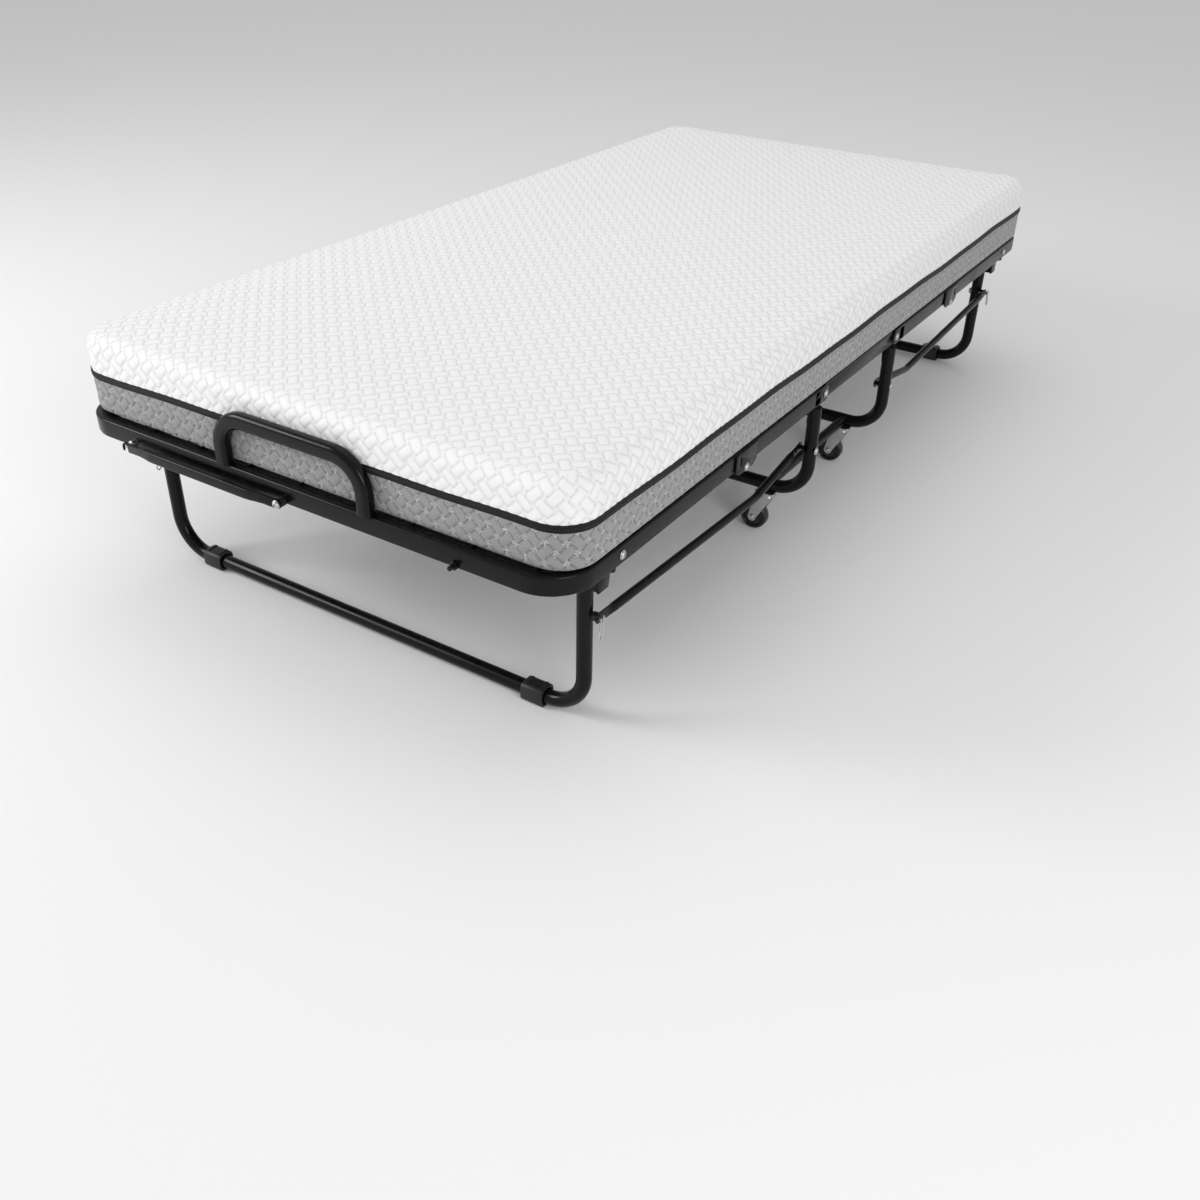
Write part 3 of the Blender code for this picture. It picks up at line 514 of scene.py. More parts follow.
stub_start = HINGE_X + RAIL_DEEP / 2 + 0.003
stub_route = [Vector((x, RAIL_Y, RAIL_Z)) for x in (stub_start, JOINT_X - 0.0005)]
stub = sweep(stub_route, rail_section, (0, 0, 1))
tongue_outline = arc((HINGE_X, RAIL_Z), RAIL_DEEP / 2, 270, 90, 16)
tongue_outline += [(HINGE_X + TONGUE_LONG, RAIL_TOP - 0.001), (HINGE_X + TONGUE_LONG, RAIL_LOW + 0.001)]
tongue_y = RAIL_OUT - PLATE_THICK / 2
tongue = flat_plate([tongue_outline], PLATE_THICK, 0.0007, UPRIGHT, (0, tongue_y, 0))
cover_low = RAIL_LOW - JOINT_PLATE_BELOW
cover_start, cover_stop = JOINT_X - JOINT_PLATE_HALF, JOINT_X + JOINT_PLATE_HALF
cover_outline = [(cover_start, RAIL_TOP), (cover_start, RAIL_LOW)]
cover_outline += [(cover_start + JOINT_PLATE_CHAMFER, cover_low)]
cover_outline += [(cover_stop - JOINT_PLATE_CHAMFER, cover_low)]
cover_outline += [(cover_stop, RAIL_LOW), (cover_stop, RAIL_TOP)]
slot_x = JOINT_X + SLOT_FROM_JOINT
slot_outline = arc((slot_x, RAIL_Z + SLOT_HIGH / 2), SLOT_WIDE / 2, 0, 180, 6)
slot_outline += arc((slot_x, RAIL_Z - SLOT_HIGH / 2), SLOT_WIDE / 2, 180, 360, 6)
cover_y = RAIL_OUT + TOUCH + PLATE_THICK / 2
cover = flat_plate([cover_outline, slot_outline], PLATE_THICK, 0.0008, UPRIGHT, (0, cover_y, 0))
mesh = one_mesh("rail_stub", stub, tongue, cover)
put_at_corners("rail_stub_tube", mesh, powder_coat, "half", "black_steel", "rail_stub")

centre_thick = RAIL_WIDE - PLATE_THICK - 0.0005
stadium = arc((HINGE_X, RAIL_Z), RAIL_DEEP / 2, 90, -90, 16)
stadium += arc((-HINGE_X, RAIL_Z), RAIL_DEEP / 2, 270, 90, 16)
for side, sign in (("left", 1), ("right", -1)):
    middle = (0, sign * (RAIL_IN + centre_thick / 2), 0)
    mesh = one_mesh("centre_rail", flat_plate([stadium], centre_thick, 0.003, UPRIGHT, middle))
    put(f"centre_rail_tube_{side}", mesh, powder_coat, "centre_frame", "black_steel", f"centre_rail_{side}")

# %% [markdown]
# ## Legs
# The legs are round tube bent to a U. At each top a flat lug is welded on to take the pivot bolt. The
# end legs stand on plastic clips; the mid legs are tied by two straight caster tubes.

# %% End legs and mid legs
END_LEG_BEND = 0.062
MID_LEG_BEND = 0.060
END_LEG_TOP = 0.262
MID_LEG_TOP = 0.268
LUG_RADIUS = 0.012
END_LUG_DROP = 0.024
MID_LUG_DROP = 0.030
MID_LUG_HALF = 0.009
WEB_WIDE = 0.026
WEB_HIGH = 0.022

foot_z = (clip_low.z + clip_high.z) / 2


def u_leg(x, y, top, bottom, bend):
    corners = [(x, y, top), (x, y, bottom), (x, -y, bottom), (x, -y, top)]
    return sweep(bent(corners, bend, 18), circle(LEG_RADIUS, 28), (1, 0, 0))


lug = arc((LEG_BOLT_X, RAIL_Z), LUG_RADIUS, 200, -20, 14)
lug += [(END_LEG.x + 0.014, END_LEG_TOP), (END_LEG.x + 0.012, END_LEG_TOP - END_LUG_DROP)]
lug += [(END_LEG.x - 0.012, END_LEG_TOP - END_LUG_DROP), (END_LEG.x - 0.018, END_LEG_TOP)]
shapes = [u_leg(END_LEG.x, END_LEG.y, END_LEG_TOP, foot_z, END_LEG_BEND)]
for side in (-1, 1):
    shapes.append(flat_plate([lug], LUG_THICK, 0.0008, UPRIGHT, (0, side * LUG_Y, 0)))
    web_route = [Vector((END_LEG.x, side * y, END_LEG_TOP - 0.012)) for y in (END_LEG.y, LUG_Y)]
    shapes.append(sweep(web_route, box_section(WEB_WIDE, WEB_HIGH, 0.003), (1, 0, 0)))
mesh = one_mesh("end_leg", *shapes)
put_at_ends("end_leg_tube", mesh, powder_coat, "leg", "black_steel", "end_leg")

lug = arc((HINGE_X, RAIL_Z), LUG_RADIUS, 200, -20, 14)
lug += [(MID_LEG.x + sign * MID_LUG_HALF, MID_LEG_TOP - MID_LUG_DROP) for sign in (1, -1)]
shapes = [u_leg(MID_LEG.x, MID_LEG.y, MID_LEG_TOP, MID_LEG.z, MID_LEG_BEND)]
for side in (-1, 1):
    shapes.append(flat_plate([lug], LUG_THICK, 0.0008, UPRIGHT, (0, side * LUG_Y, 0)))
mesh = one_mesh("mid_leg", *shapes)
put_at_ends("mid_leg_tube", mesh, powder_coat, "centre_frame", "black_steel", "mid_leg")

tie_low, tie_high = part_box("caster_tube_left")
for side, sign in (("left", 1), ("right", -1)):
    y = sign * (tie_low.y + tie_high.y) / 2
    z = (tie_low.z + tie_high.z) / 2
    route = [Vector((x, y, z)) for x in (tie_low.x - 0.002, tie_high.x + 0.002)]
    mesh = one_mesh("caster_tube", sweep(route, circle(CASTER_TUBE_RADIUS), (0, 0, 1)))
    put(f"caster_tie_tube_{side}", mesh, powder_coat, "centre_frame", "black_steel", f"caster_tube_{side}")

# %% [markdown]
# ## Foot clips
# Each foot is a nylon collar snapped over the leg's bottom run, with a flat sole and a raised tab. A
# plate with a round hole, thick along Y, is that collar in one step.

# %% Foot clips
COLLAR_CORNER = 0.009
BORE_CLEAR = 0.0015
TAB_INSET = 0.007
TAB_HALF = 0.010

collar_half = clip_high.z / 2
collar_loop = box_section(2 * collar_half, 2 * collar_half, COLLAR_CORNER, 6)
collar = [(u + END_LEG.x, v + foot_z) for u, v in collar_loop]
bore = arc((END_LEG.x, foot_z), LEG_RADIUS + BORE_CLEAR, 0, 350, 35)
collar_long = clip_high.y - clip_low.y
collar_y = (clip_high.y + clip_low.y) / 2
shapes = [flat_plate([collar, bore], collar_long, 0.0012, UPRIGHT, (0, collar_y, 0))]
for y in (collar_y - collar_long / 2 + TAB_INSET, collar_y + collar_long / 2 - TAB_INSET):
    tab_route = [Vector((END_LEG.x + dx, y, clip_high.z - 0.001)) for dx in (-TAB_HALF, TAB_HALF)]
    shapes.append(sweep(tab_route, box_section(0.005, 0.005, 0.0015), (0, 1, 0)))
mesh = one_mesh("foot_clip", *shapes)
put_at_corners("foot_collar", mesh, black_nylon, "leg", "black_plastic", "foot_clip")

# %% [markdown]
# ## Link bars
# A link bar is a thin tube with a slight kink, and both ends are pressed flat and pierced. Carrying a
# section that changes does this: round in the middle, then wider and thinner, with an eye that ends in
# half a circle. The press keeps the tube's girth, so the flat is about one and a half diameters wide.

# %% Link bars
LINK_KINK_FROM_PIN = 0.170
LINK_KINK_DEPTH = 0.028
EYE_HALF_THICK = 0.0016
EYE_RADIUS = 0.0095
FLAT_LONG = 0.022
PRESS_LONG = 0.016

leg_eye_y = RAIL_IN - 0.0025 - LINK_RADIUS
mid_eye_y = MID_LEG.y - LEG_RADIUS - 0.0005 - LINK_RADIUS
leg_end = Vector((LEG_PIN.x, leg_eye_y, LEG_PIN.z))
mid_end = Vector((MID_PIN.x, mid_eye_y, MID_PIN.z))
kink = mid_end.lerp(leg_end, LINK_KINK_FROM_PIN / (leg_end.x - mid_end.x))
kink.z -= LINK_KINK_DEPTH
spine = bent([mid_end, kink, leg_end], 0.10, 10)


def eased(value):
    value = min(1.0, max(0.0, value))
    return value * value * (3 - 2 * value)


def pressed_stations(route):
    """Extra stops near both ends of a route, where its section changes."""
    first, last = route[0], route[-1]
    inward = (route[1] - first).normalized()
    backward = (route[-2] - last).normalized()
    stops = [-EYE_RADIUS * math.cos(math.radians(a)) for a in (2, 15, 30, 45, 60, 75)]
    stops += [FLAT_LONG * k / 4 for k in range(5)] + [FLAT_LONG + PRESS_LONG * k / 6 for k in range(1, 7)]
    head = [(first + inward * s, s) for s in stops]
    tail = [(last + backward * s, s) for s in reversed(stops)]
    middle = [(point, 1.0) for point in route[1:-1]]
    return head + middle + tail


def pressed_section(distance):
    """Half thickness and half width of the tube this far in from the eye's centre."""
    if distance < 0:
        return EYE_HALF_THICK, math.sqrt(max(EYE_RADIUS**2 - distance**2, 0.0004**2))
    share = eased((distance - FLAT_LONG) / PRESS_LONG)
    thick = EYE_HALF_THICK + (LINK_RADIUS - EYE_HALF_THICK) * share
    wide = EYE_RADIUS + (LINK_RADIUS - EYE_RADIUS) * share
    return thick, wide


stations = pressed_stations(spine)
rings = []
for k, (point, distance) in enumerate(stations):
    following = stations[min(k + 1, len(stations) - 1)][0]
    previous = stations[max(k - 1, 0)][0]
    onward = (following - previous).normalized()
    out = Vector((0, 1, 0)).cross(onward)
    thick, wide = pressed_section(distance)
    rings.append([point + Vector((0, 1, 0)) * u * thick + out * v * wide for u, v in circle(1, 20)])
link = loft(rings)
rivet_stem = turned([(BOLT_RADIUS, 0), (BOLT_RADIUS, RAIL_OUT - mid_eye_y)], 16)
aimed(rivet_stem, mid_end, (0, 1, 0))
mesh = one_mesh("link_bar", link, rivet_stem)
put_at_corners("link_tube", mesh, powder_coat, "links", "black_steel", "link_bar")
print(f"link bar: {(leg_end - mid_end).length * 1000:.0f} mm between its eyes")

# %% [markdown]
# ## Handle and latch bar
# The loop on each end rail is flat-sided tube, the same section all the way round, so it stops the
# mattress sliding and gives a grip. The latch bar below it is rectangular tube pinched flat at its two
# ends: one turns on a bolt, the other is cut as an open hook.

# %% Handles
handle_low, handle_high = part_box("far_handle")
HANDLE_SECTION = 0.026
HANDLE_BEND = 0.052

handle_x = (handle_low.x + handle_high.x) / 2
handle_y = handle_high.y - HANDLE_SECTION / 2
handle_z = handle_high.z - HANDLE_SECTION / 2
foot = handle_low.z - 0.001
corners = [(handle_x, handle_y, foot), (handle_x, handle_y, handle_z)]
corners += [(handle_x, -handle_y, handle_z), (handle_x, -handle_y, foot)]
handle_section = box_section(handle_high.x - handle_low.x, HANDLE_SECTION, 0.008, 6)
mesh = one_mesh("handle", sweep(bent(corners, HANDLE_BEND, 20), handle_section, (1, 0, 0)))
put_at_ends("handle_loop", mesh, powder_coat, "half", "black_steel", "handle")

# %% Latch bars
LATCH_STRIP = 0.004
EYE_INSET = 0.001

bar_low, bar_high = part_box("far_latch_bar")
latch_bolt_low, latch_bolt_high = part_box("far_latch_bolt")
latch_x = (bar_low.x + bar_high.x) / 2
latch_z = (bar_low.z + bar_high.z) / 2
pivot_y = (latch_bolt_low.y + latch_bolt_high.y) / 2
eye_half = (bar_high.z - bar_low.z) / 2 - EYE_INSET
tip_y = bar_low.y + eye_half
mouth = BOLT_RADIUS + 0.001
hook = arc((pivot_y, latch_z), eye_half, -90, 90, 12) + arc((tip_y, latch_z), eye_half, 90, 180, 8)
hook += [(tip_y - eye_half, latch_z - 0.003), (tip_y - mouth - 0.001, latch_z - eye_half)]
hook += arc((tip_y, latch_z), mouth, 180, 0, 10) + [(tip_y + mouth, latch_z - eye_half)]
strip = flat_plate([hook], LATCH_STRIP, 0.0008, FACING_X, (latch_x, 0, 0))
bar_route = [Vector((latch_x, pivot_y + (tip_y - pivot_y) * s, latch_z)) for s in (0.10, 0.13, 0.16, 0.19)]
bar_route += [Vector((latch_x, pivot_y + (tip_y - pivot_y) * s, latch_z)) for s in (0.81, 0.84, 0.87, 0.90)]


def pinched(share):
    """The latch tube's section: flat at both ends, full in the middle."""
    full = eased(min(share, 1 - share) * (len(bar_route) - 1) / 3)
    deep = LATCH_STRIP + 0.0004 + (bar_high.x - bar_low.x - LATCH_STRIP) * full
    return box_section(deep, bar_high.z - bar_low.z, 0.0022)


mesh = one_mesh("latch_bar", strip, sweep(bar_route, pinched, (1, 0, 0)))
put_at_ends("latch_tube", mesh, powder_coat, "latch", "black_steel", "latch_bar")

# %% [markdown]
# ## Wire deck
# The mattress lies on a grid of straight wires, welded where they cross. A wire repeated at a steady
# pitch is a job for Geometry Nodes: one tree draws a line between two points, gives it a round section
# and repeats it a number of times. Run twice, it makes the wires along the bed and those across it.

# %% A tree that repeats a wire


def new_tree(name, inputs):
    """An empty tree with named inputs, each (label, socket type, first value)."""
    made = bpy.data.node_groups.new(name, "GeometryNodeTree")
    made.interface.new_socket("Geometry", in_out="INPUT", socket_type="NodeSocketGeometry")
    for label, kind, value in inputs:
        socket = made.interface.new_socket(label, in_out="INPUT", socket_type=kind)
        if value is not None:
            socket.default_value = value
    made.interface.new_socket("Geometry", in_out="OUTPUT", socket_type="NodeSocketGeometry")
    return made, made.nodes.new("NodeGroupInput").outputs


def close_tree(tree, shape, finish):
    """Ends a tree: its instances are made real and given their finish."""
    real = add(tree, "GeometryNodeRealizeInstances", shape)
    dressed = add(tree, "GeometryNodeSetMaterial", real, named={"Material": finish})
    add(tree, "NodeGroupOutput", dressed)


def run_tree(tree, mesh, **values):
    """Runs a tree on a mesh with these inputs, and gives its result as a plain mesh."""
    holder = bpy.data.objects.new("holder", mesh)
    bpy.context.scene.collection.objects.link(holder)
    step = holder.modifiers.new("nodes", "NODES")
    step.node_group = tree
    for item in tree.interface.items_tree:
        key = item.name.replace(" ", "_").lower()
        if item.in_out == "INPUT" and key in values:
            step[item.identifier] = values[key]
    return evaluated_mesh(holder)


wire_tree, inlet = new_tree(
    "repeated_wire",
    [
        ("First end", "NodeSocketVector", None),
        ("Other end", "NodeSocketVector", None),
        ("Step", "NodeSocketVector", None),
        ("Count", "NodeSocketInt", 8),
        ("Wire radius", "NodeSocketFloat", 0.0015),
        ("Finish", "NodeSocketMaterial", None),
    ],
)
line = add(wire_tree, "GeometryNodeCurvePrimitiveLine", inlet["First end"], inlet["Other end"])
rim = add(
    wire_tree, "GeometryNodeCurvePrimitiveCircle", named={"Resolution": 8, "Radius": inlet["Wire radius"]}
)
wire = add(wire_tree, "GeometryNodeCurveToMesh", line, rim, named={"Fill Caps": True})
row = add(wire_tree, "GeometryNodeMeshLine", named={"Count": inlet["Count"], "Offset": inlet["Step"]})
repeated = add(wire_tree, "GeometryNodeInstanceOnPoints", row, named={"Instance": wire})
close_tree(wire_tree, repeated, inlet["Finish"])

# %% Deck wires and cross tubes
WIRE_RADIUS = 0.0015
WIRE_PITCH = 0.105
ALONG_REACH = 0.420
EDGE_STRIP = 0.010
EDGE_STRIP_THICK = 0.0026

deck_low, deck_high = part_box("far_deck")
upper = deck_high.z - WIRE_RADIUS
lower = upper - 2 * WIRE_RADIUS
along_count = round(2 * ALONG_REACH / WIRE_PITCH) + 1
across_count = math.floor((deck_high.x - 0.05 - deck_low.x) / WIRE_PITCH) + 1
edge_x = deck_low.x + WIRE_RADIUS
# First end, other end, step and count of the wires along the bed, and of those across it
WIRE_ROWS = [
    ((deck_low.x, -ALONG_REACH, upper), (deck_high.x, -ALONG_REACH, upper), (0, WIRE_PITCH, 0), along_count),
    ((edge_x, deck_low.y, lower), (edge_x, deck_high.y, lower), (WIRE_PITCH, 0, 0), across_count),
]
# A flat strip inside the end rail takes the wires' ends
strip_y, strip_x = RAIL_IN - EDGE_STRIP / 2, END_X - RAIL_WIDE - EDGE_STRIP / 2
strip_start = strip_x - 0.060
strip_z = lower + WIRE_RADIUS - EDGE_STRIP_THICK / 2 - 0.0002
corners = [(strip_start, strip_y, strip_z), (strip_x, strip_y, strip_z)]
corners += [(strip_x, -strip_y, strip_z), (strip_start, -strip_y, strip_z)]
strip_bend = END_BEND - (RAIL_WIDE + EDGE_STRIP) / 2
edge_strip = box_section(EDGE_STRIP_THICK, EDGE_STRIP, 0.0008, 2)
shapes = [sweep(bent(corners, strip_bend, 18), edge_strip, (0, 0, 1))]
for first_end, other_end, step, count in WIRE_ROWS:
    wires = run_tree(
        wire_tree, bpy.data.meshes.new("blank"), first_end=first_end, other_end=other_end, step=step,
        count=count, wire_radius=WIRE_RADIUS, finish=powder_coat,
    )
    shapes.append(as_shape(wires))
mesh = one_mesh("deck", *shapes)
put_at_ends("deck_wires", mesh, powder_coat, "half", "black_steel", "deck")
print("deck:", along_count, "wires along and", across_count, "across each half")

tube_low, tube_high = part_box("far_cross_tube")
tube_x = (tube_low.x + tube_high.x) / 2
tube_z = (tube_low.z + tube_high.z) / 2
route = [Vector((tube_x, y, tube_z)) for y in (tube_low.y, tube_high.y)]
mesh = one_mesh("cross_tube", sweep(route, circle(CROSS_TUBE_RADIUS), (1, 0, 0)))
put_at_ends("deck_cross_tube", mesh, powder_coat, "half", "black_steel", "cross_tube")

# %% [markdown]
# ## Casters
# A caster's top plate, its ball race and its fork are pressed from sheet and zinc-plated. The wheel is
# turned, with a rounded tread and a sunk web round the hub, so it comes from a profile spun about its
# axle. All four trail the same way when the bed is parked, so each one is made at its own place.

# %% Casters
FORK_SHEET = 0.0025
FORK_PLATE = 0.038
CHEEK_RADIUS = 0.0085
AXLE_NUT = 0.0045
WEB_DEPTH = 0.0035
HUB_RADIUS = 0.0085
WHEEL_CLEAR = 0.0012
FORK_EDGE = 0.0007
SKIRT_DROP = 0.012
FORK_FRONT = 0.014
FORK_BACK = 0.017


def wheel_profile(radius, half):
    """Radius and height pairs down the outside of the wheel: boss, sunk web, rim and round tread."""
    side = [(HUB_RADIUS - 0.001, half), (HUB_RADIUS, half - 0.0006), (HUB_RADIUS + 0.0008, half - WEB_DEPTH)]
    side += [(radius - 0.0075, half - WEB_DEPTH), (radius - 0.0062, half - 0.0012), (radius - 0.0052, half)]
    side += [(radius - 0.0030, half), (radius - 0.0012, half - 0.0010), (radius - 0.0003, half - 0.0028)]
    side += [(radius, half - 0.0052)]
    return side + [(r, -h) for r, h in reversed(side)]


for end in ENDS:
    for side in ("left", "right"):
        fork_low, fork_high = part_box(f"{end}_caster_fork_{side}")
        wheel_low, wheel_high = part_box(f"{end}_caster_wheel_{side}")
        centre = (wheel_low + wheel_high) / 2
        radius = (wheel_high.z - wheel_low.z) / 2
        half = (wheel_high.x - wheel_low.x) / 2
        plate_y = fork_low.y + FORK_PLATE / 2
        plate_top = fork_high.z
        skirt = plate_top - SKIRT_DROP
        flat = [(centre.x + u, plate_y + v) for u, v in box_section(FORK_PLATE, FORK_PLATE, 0.006)]
        top = flat_plate([flat], PLATE_THICK, 0.0009, None, (0, 0, plate_top - PLATE_THICK / 2))
        race = turned([(0.0165, -0.003), (0.0162, -0.0055), (0.0145, -0.0085), (0.0145, -0.0125)], 28)
        race = aimed(race, (centre.x, plate_y, plate_top), (0, 0, 1))
        shapes = [top, race]
        cheek = arc((centre.y, centre.z), CHEEK_RADIUS, 180, 360, 14)
        cheek += [(plate_y + 0.021, skirt - 0.008)]
        cheek += [(plate_y + FORK_BACK, skirt), (plate_y - FORK_FRONT, skirt)]
        for sign in (-1, 1):
            x = centre.x + sign * (half + WHEEL_CLEAR + FORK_SHEET / 2)
            shapes.append(flat_plate([cheek], FORK_SHEET, FORK_EDGE, FACING_X, (x, 0, 0)))
            nut = turned([(0.001, 0.0055), (AXLE_NUT, 0.0048), (AXLE_NUT + 0.001, 0.0035), (0.0055, 0)], 6)
            shapes.append(aimed(nut, (x + sign * FORK_SHEET / 2, centre.y, centre.z), (sign, 0, 0)))
        crown_half = half + WHEEL_CLEAR + FORK_SHEET
        crown = [(centre.x + sign * crown_half, plate_y - FORK_FRONT) for sign in (-1, 1)]
        crown += [(centre.x + sign * crown_half, plate_y + FORK_BACK) for sign in (1, -1)]
        shapes.append(flat_plate([crown], FORK_SHEET, FORK_EDGE, None, (0, 0, skirt)))
        mesh = one_mesh("caster_fork", *shapes)
        put(
            f"{end}_caster_yoke_{side}", mesh, zinc_plate, f"{end}_{side}_swivel",
            "zinc_hardware", f"{end}_caster_fork_{side}",
        )
        spin = aimed(turned(wheel_profile(radius, half), 48), centre, (1, 0, 0))
        put(
            f"{end}_caster_roller_{side}", one_mesh("caster_wheel", spin), wheel_urethane,
            f"{end}_{side}_wheel", "caster_tread", f"{end}_caster_wheel_{side}",
        )
print("caster wheels:", round(radius * 2000), "mm across")

# %% [markdown]
# ## Bolts, pins and studs
# The same few fasteners are used again and again: a domed bolt with its washer, a hexagon nut, a plain
# stud. Geometry Nodes put a head on every point it is given, turned to that point's axis, so a body's
# bolts become one piece and none is copied by hand.

# %% Heads to repeat
HEAD_RADIUS = 0.0064
SPACER_RADIUS = 0.007


def head_shape(kind):
    """One fastener head about Z, its seat at zero and its top upward."""
    if kind == "bolt":
        washer = turned([(0.0070, 0), (0.0070, 0.0008), (0.0067, 0.0011), (0.003, 0.0011)], 32)
        dome = [(0.0055, 0.0011), (0.0055, 0.0017), (0.0050, 0.0027), (0.0040, 0.0036), (0.0025, 0.0041)]
        socket = [(0.0024, 0.0041), (0.0024, 0.0024), (0.0004, 0.0024)]
        return one_mesh(kind, washer, turned(dome + socket, 24))
    if kind == "nut":
        washer = turned([(0.0082, 0), (0.0082, 0.0008), (0.0078, 0.0010), (0.003, 0.0010)], 32)
        flats = turned([(0.0064, 0.0010), (0.0072, 0.0015), (0.0072, 0.0034), (0.0064, 0.0040)], 6)
        thread = turned([(0.0034, 0.0038), (0.0034, 0.0052), (0.0028, 0.0058), (0.0006, 0.0058)], 16)
        return one_mesh(kind, washer, flats, thread)
    profile = [(HEAD_RADIUS, 0), (HEAD_RADIUS, 0.0034), (HEAD_RADIUS - 0.0006, 0.0040), (0.0036, 0.0041)]
    return one_mesh(kind, turned(profile + [(0.0035, 0.0120), (0.0029, 0.0128), (0.0006, 0.0129)], 24))


head_tree, inlet = new_tree(
    "heads_on_points",
    [
        ("Head", "NodeSocketObject", None),
        ("Turn", "NodeSocketRotation", None),
        ("Finish", "NodeSocketMaterial", None),
    ],
)
head = add(head_tree, "GeometryNodeObjectInfo", named={"Object": inlet["Head"]})
seats = add(head_tree, "GeometryNodeMeshToPoints", inlet["Geometry"])
repeated = add(
    head_tree, "GeometryNodeInstanceOnPoints", seats,
    named={"Instance": head.outputs["Geometry"], "Rotation": inlet["Turn"]},
)
close_tree(head_tree, repeated, inlet["Finish"])

# %% Heads on every body


def head_mesh(kind, seats, axis):
    """The seats' heads as one mesh, all pointing along the axis."""
    pattern = bpy.data.objects.new("pattern", head_shape(kind))
    bpy.context.scene.collection.objects.link(pattern)
    points = bpy.data.meshes.new("seats")
    points.from_pydata(seats, [], [])
    turn = Vector(axis).to_track_quat("Z", "Y").to_euler()
    made = run_tree(head_tree, points, head=pattern, turn=turn, finish=zinc_plate)
    bpy.data.objects.remove(pattern, do_unlink=True)
    return made


def stem(start, stop, radius=BOLT_RADIUS):
    """A plain round stem between two points."""
    start, stop = Vector(start), Vector(stop)
    rod = turned([(radius, 0), (radius, (stop - start).length)], 20)
    return aimed(rod, start, stop - start)


def fastened(name, heads, stems):
    """Heads and stems as one mesh. Heads are (kind, seats, axis) and stems are finished shapes."""
    shapes = list(stems)
    for kind, seats, axis in heads:
        shapes.append(as_shape(head_mesh(kind, seats, axis)))
    return one_mesh(name, *shapes)


out_face = RAIL_OUT + TOUCH
lug_face = LUG_Y - LUG_THICK / 2 - TOUCH
pivots = [((HINGE_X, RAIL_Z), "hinge_bolt", "centre_frame"), ((LEG_BOLT_X, RAIL_Z), "leg_bolt", "half")]
for (x, z), node, body in pivots:
    heads = [("bolt", [(x, out_face, z)], (0, 1, 0)), ("nut", [(x, lug_face, z)], (0, -1, 0))]
    mesh = fastened(node, heads, [stem((x, lug_face, z), (x, out_face, z))])
    put_at_corners(f"{node}_set", mesh, zinc_plate, body, "zinc_hardware", node)

cover_face = cover_y + PLATE_THICK / 2
mesh = head_mesh("bolt", [(JOINT_X, cover_face, RAIL_LOW - 0.001)], (0, 1, 0))
put_at_corners("joint_bolt", mesh, zinc_plate, "half", "zinc_hardware")
mesh = head_mesh("bolt", [(MID_PIN.x, MID_LEG.y + LEG_RADIUS, MID_PIN.z)], (0, 1, 0))
put_at_corners("link_rivet", mesh, zinc_plate, "links", "zinc_hardware")

studs = {"park_stud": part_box("far_park_stud"), "catch_stud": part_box("far_catch_stud")}
for node, (low, high) in studs.items():
    mesh = head_mesh("stud", [(low.x, (low.y + high.y) / 2, latch_z)], (1, 0, 0))
    coated = node == "catch_stud"
    finish = powder_coat if coated else zinc_plate
    put_at_ends(f"{node}_pin", mesh, finish, "half", "black_steel" if coated else "zinc_hardware", node)

latch_face = latch_x + LATCH_STRIP / 2 + TOUCH
heads = [("bolt", [(latch_face, pivot_y, latch_z)], (1, 0, 0))]
mesh = fastened("latch_bolt", heads, [stem((END_X, pivot_y, latch_z), (latch_face, pivot_y, latch_z))])
put_at_ends("latch_bolt_set", mesh, zinc_plate, "half", "zinc_hardware", "latch_bolt")
sleeve_end = (latch_x - LATCH_STRIP / 2 - TOUCH, pivot_y, latch_z)
sleeve = stem((END_X + TOUCH, pivot_y, latch_z), sleeve_end, SPACER_RADIUS)
put_at_ends("latch_spacer", one_mesh("spacer", sleeve), black_nylon, "half", "black_plastic")

# %% [markdown]
# The link pin at each end leg can be pulled out: it has a head inside, a black spacer, and a spring clip
# through its tip. The clip is one length of wire, bent like the letter R.

# %% Link pins and their clips
CLIP_WIRE = 0.0011

pin_tip = pin_high.y
heads = [("bolt", [(LEG_PIN.x, END_LEG.y - LEG_RADIUS - TOUCH, LEG_PIN.z)], (0, -1, 0))]
pin_stem = stem((LEG_PIN.x, END_LEG.y - LEG_RADIUS, LEG_PIN.z), (LEG_PIN.x, pin_tip, LEG_PIN.z))
clip_y = pin_tip - 0.0012
clip_points = [(0, 0.007), (0, -0.010), (0.001, -0.020), (0.003, -0.027), (0.008, -0.030)]
clip_points += [(0.0115, -0.026), (0.0105, -0.018), (0.0060, -0.010), (0.0058, -0.002), (0.0085, 0.005)]
route = [Vector((LEG_PIN.x + u, clip_y, LEG_PIN.z + v)) for u, v in clip_points]
spring = sweep(bent(route, 0.0016, 3), circle(CLIP_WIRE, 10), (0, 1, 0))
mesh = fastened("link_pin", heads, [pin_stem, spring])
put_at_corners("link_pin_set", mesh, zinc_plate, "leg", "zinc_hardware", "link_pin")
sleeve_end = (LEG_PIN.x, leg_eye_y - 0.002, LEG_PIN.z)
sleeve = stem((LEG_PIN.x, END_LEG.y + LEG_RADIUS, LEG_PIN.z), sleeve_end, SPACER_RADIUS)
put_at_corners("link_spacer", one_mesh("spacer", sleeve), black_nylon, "leg", "black_plastic")
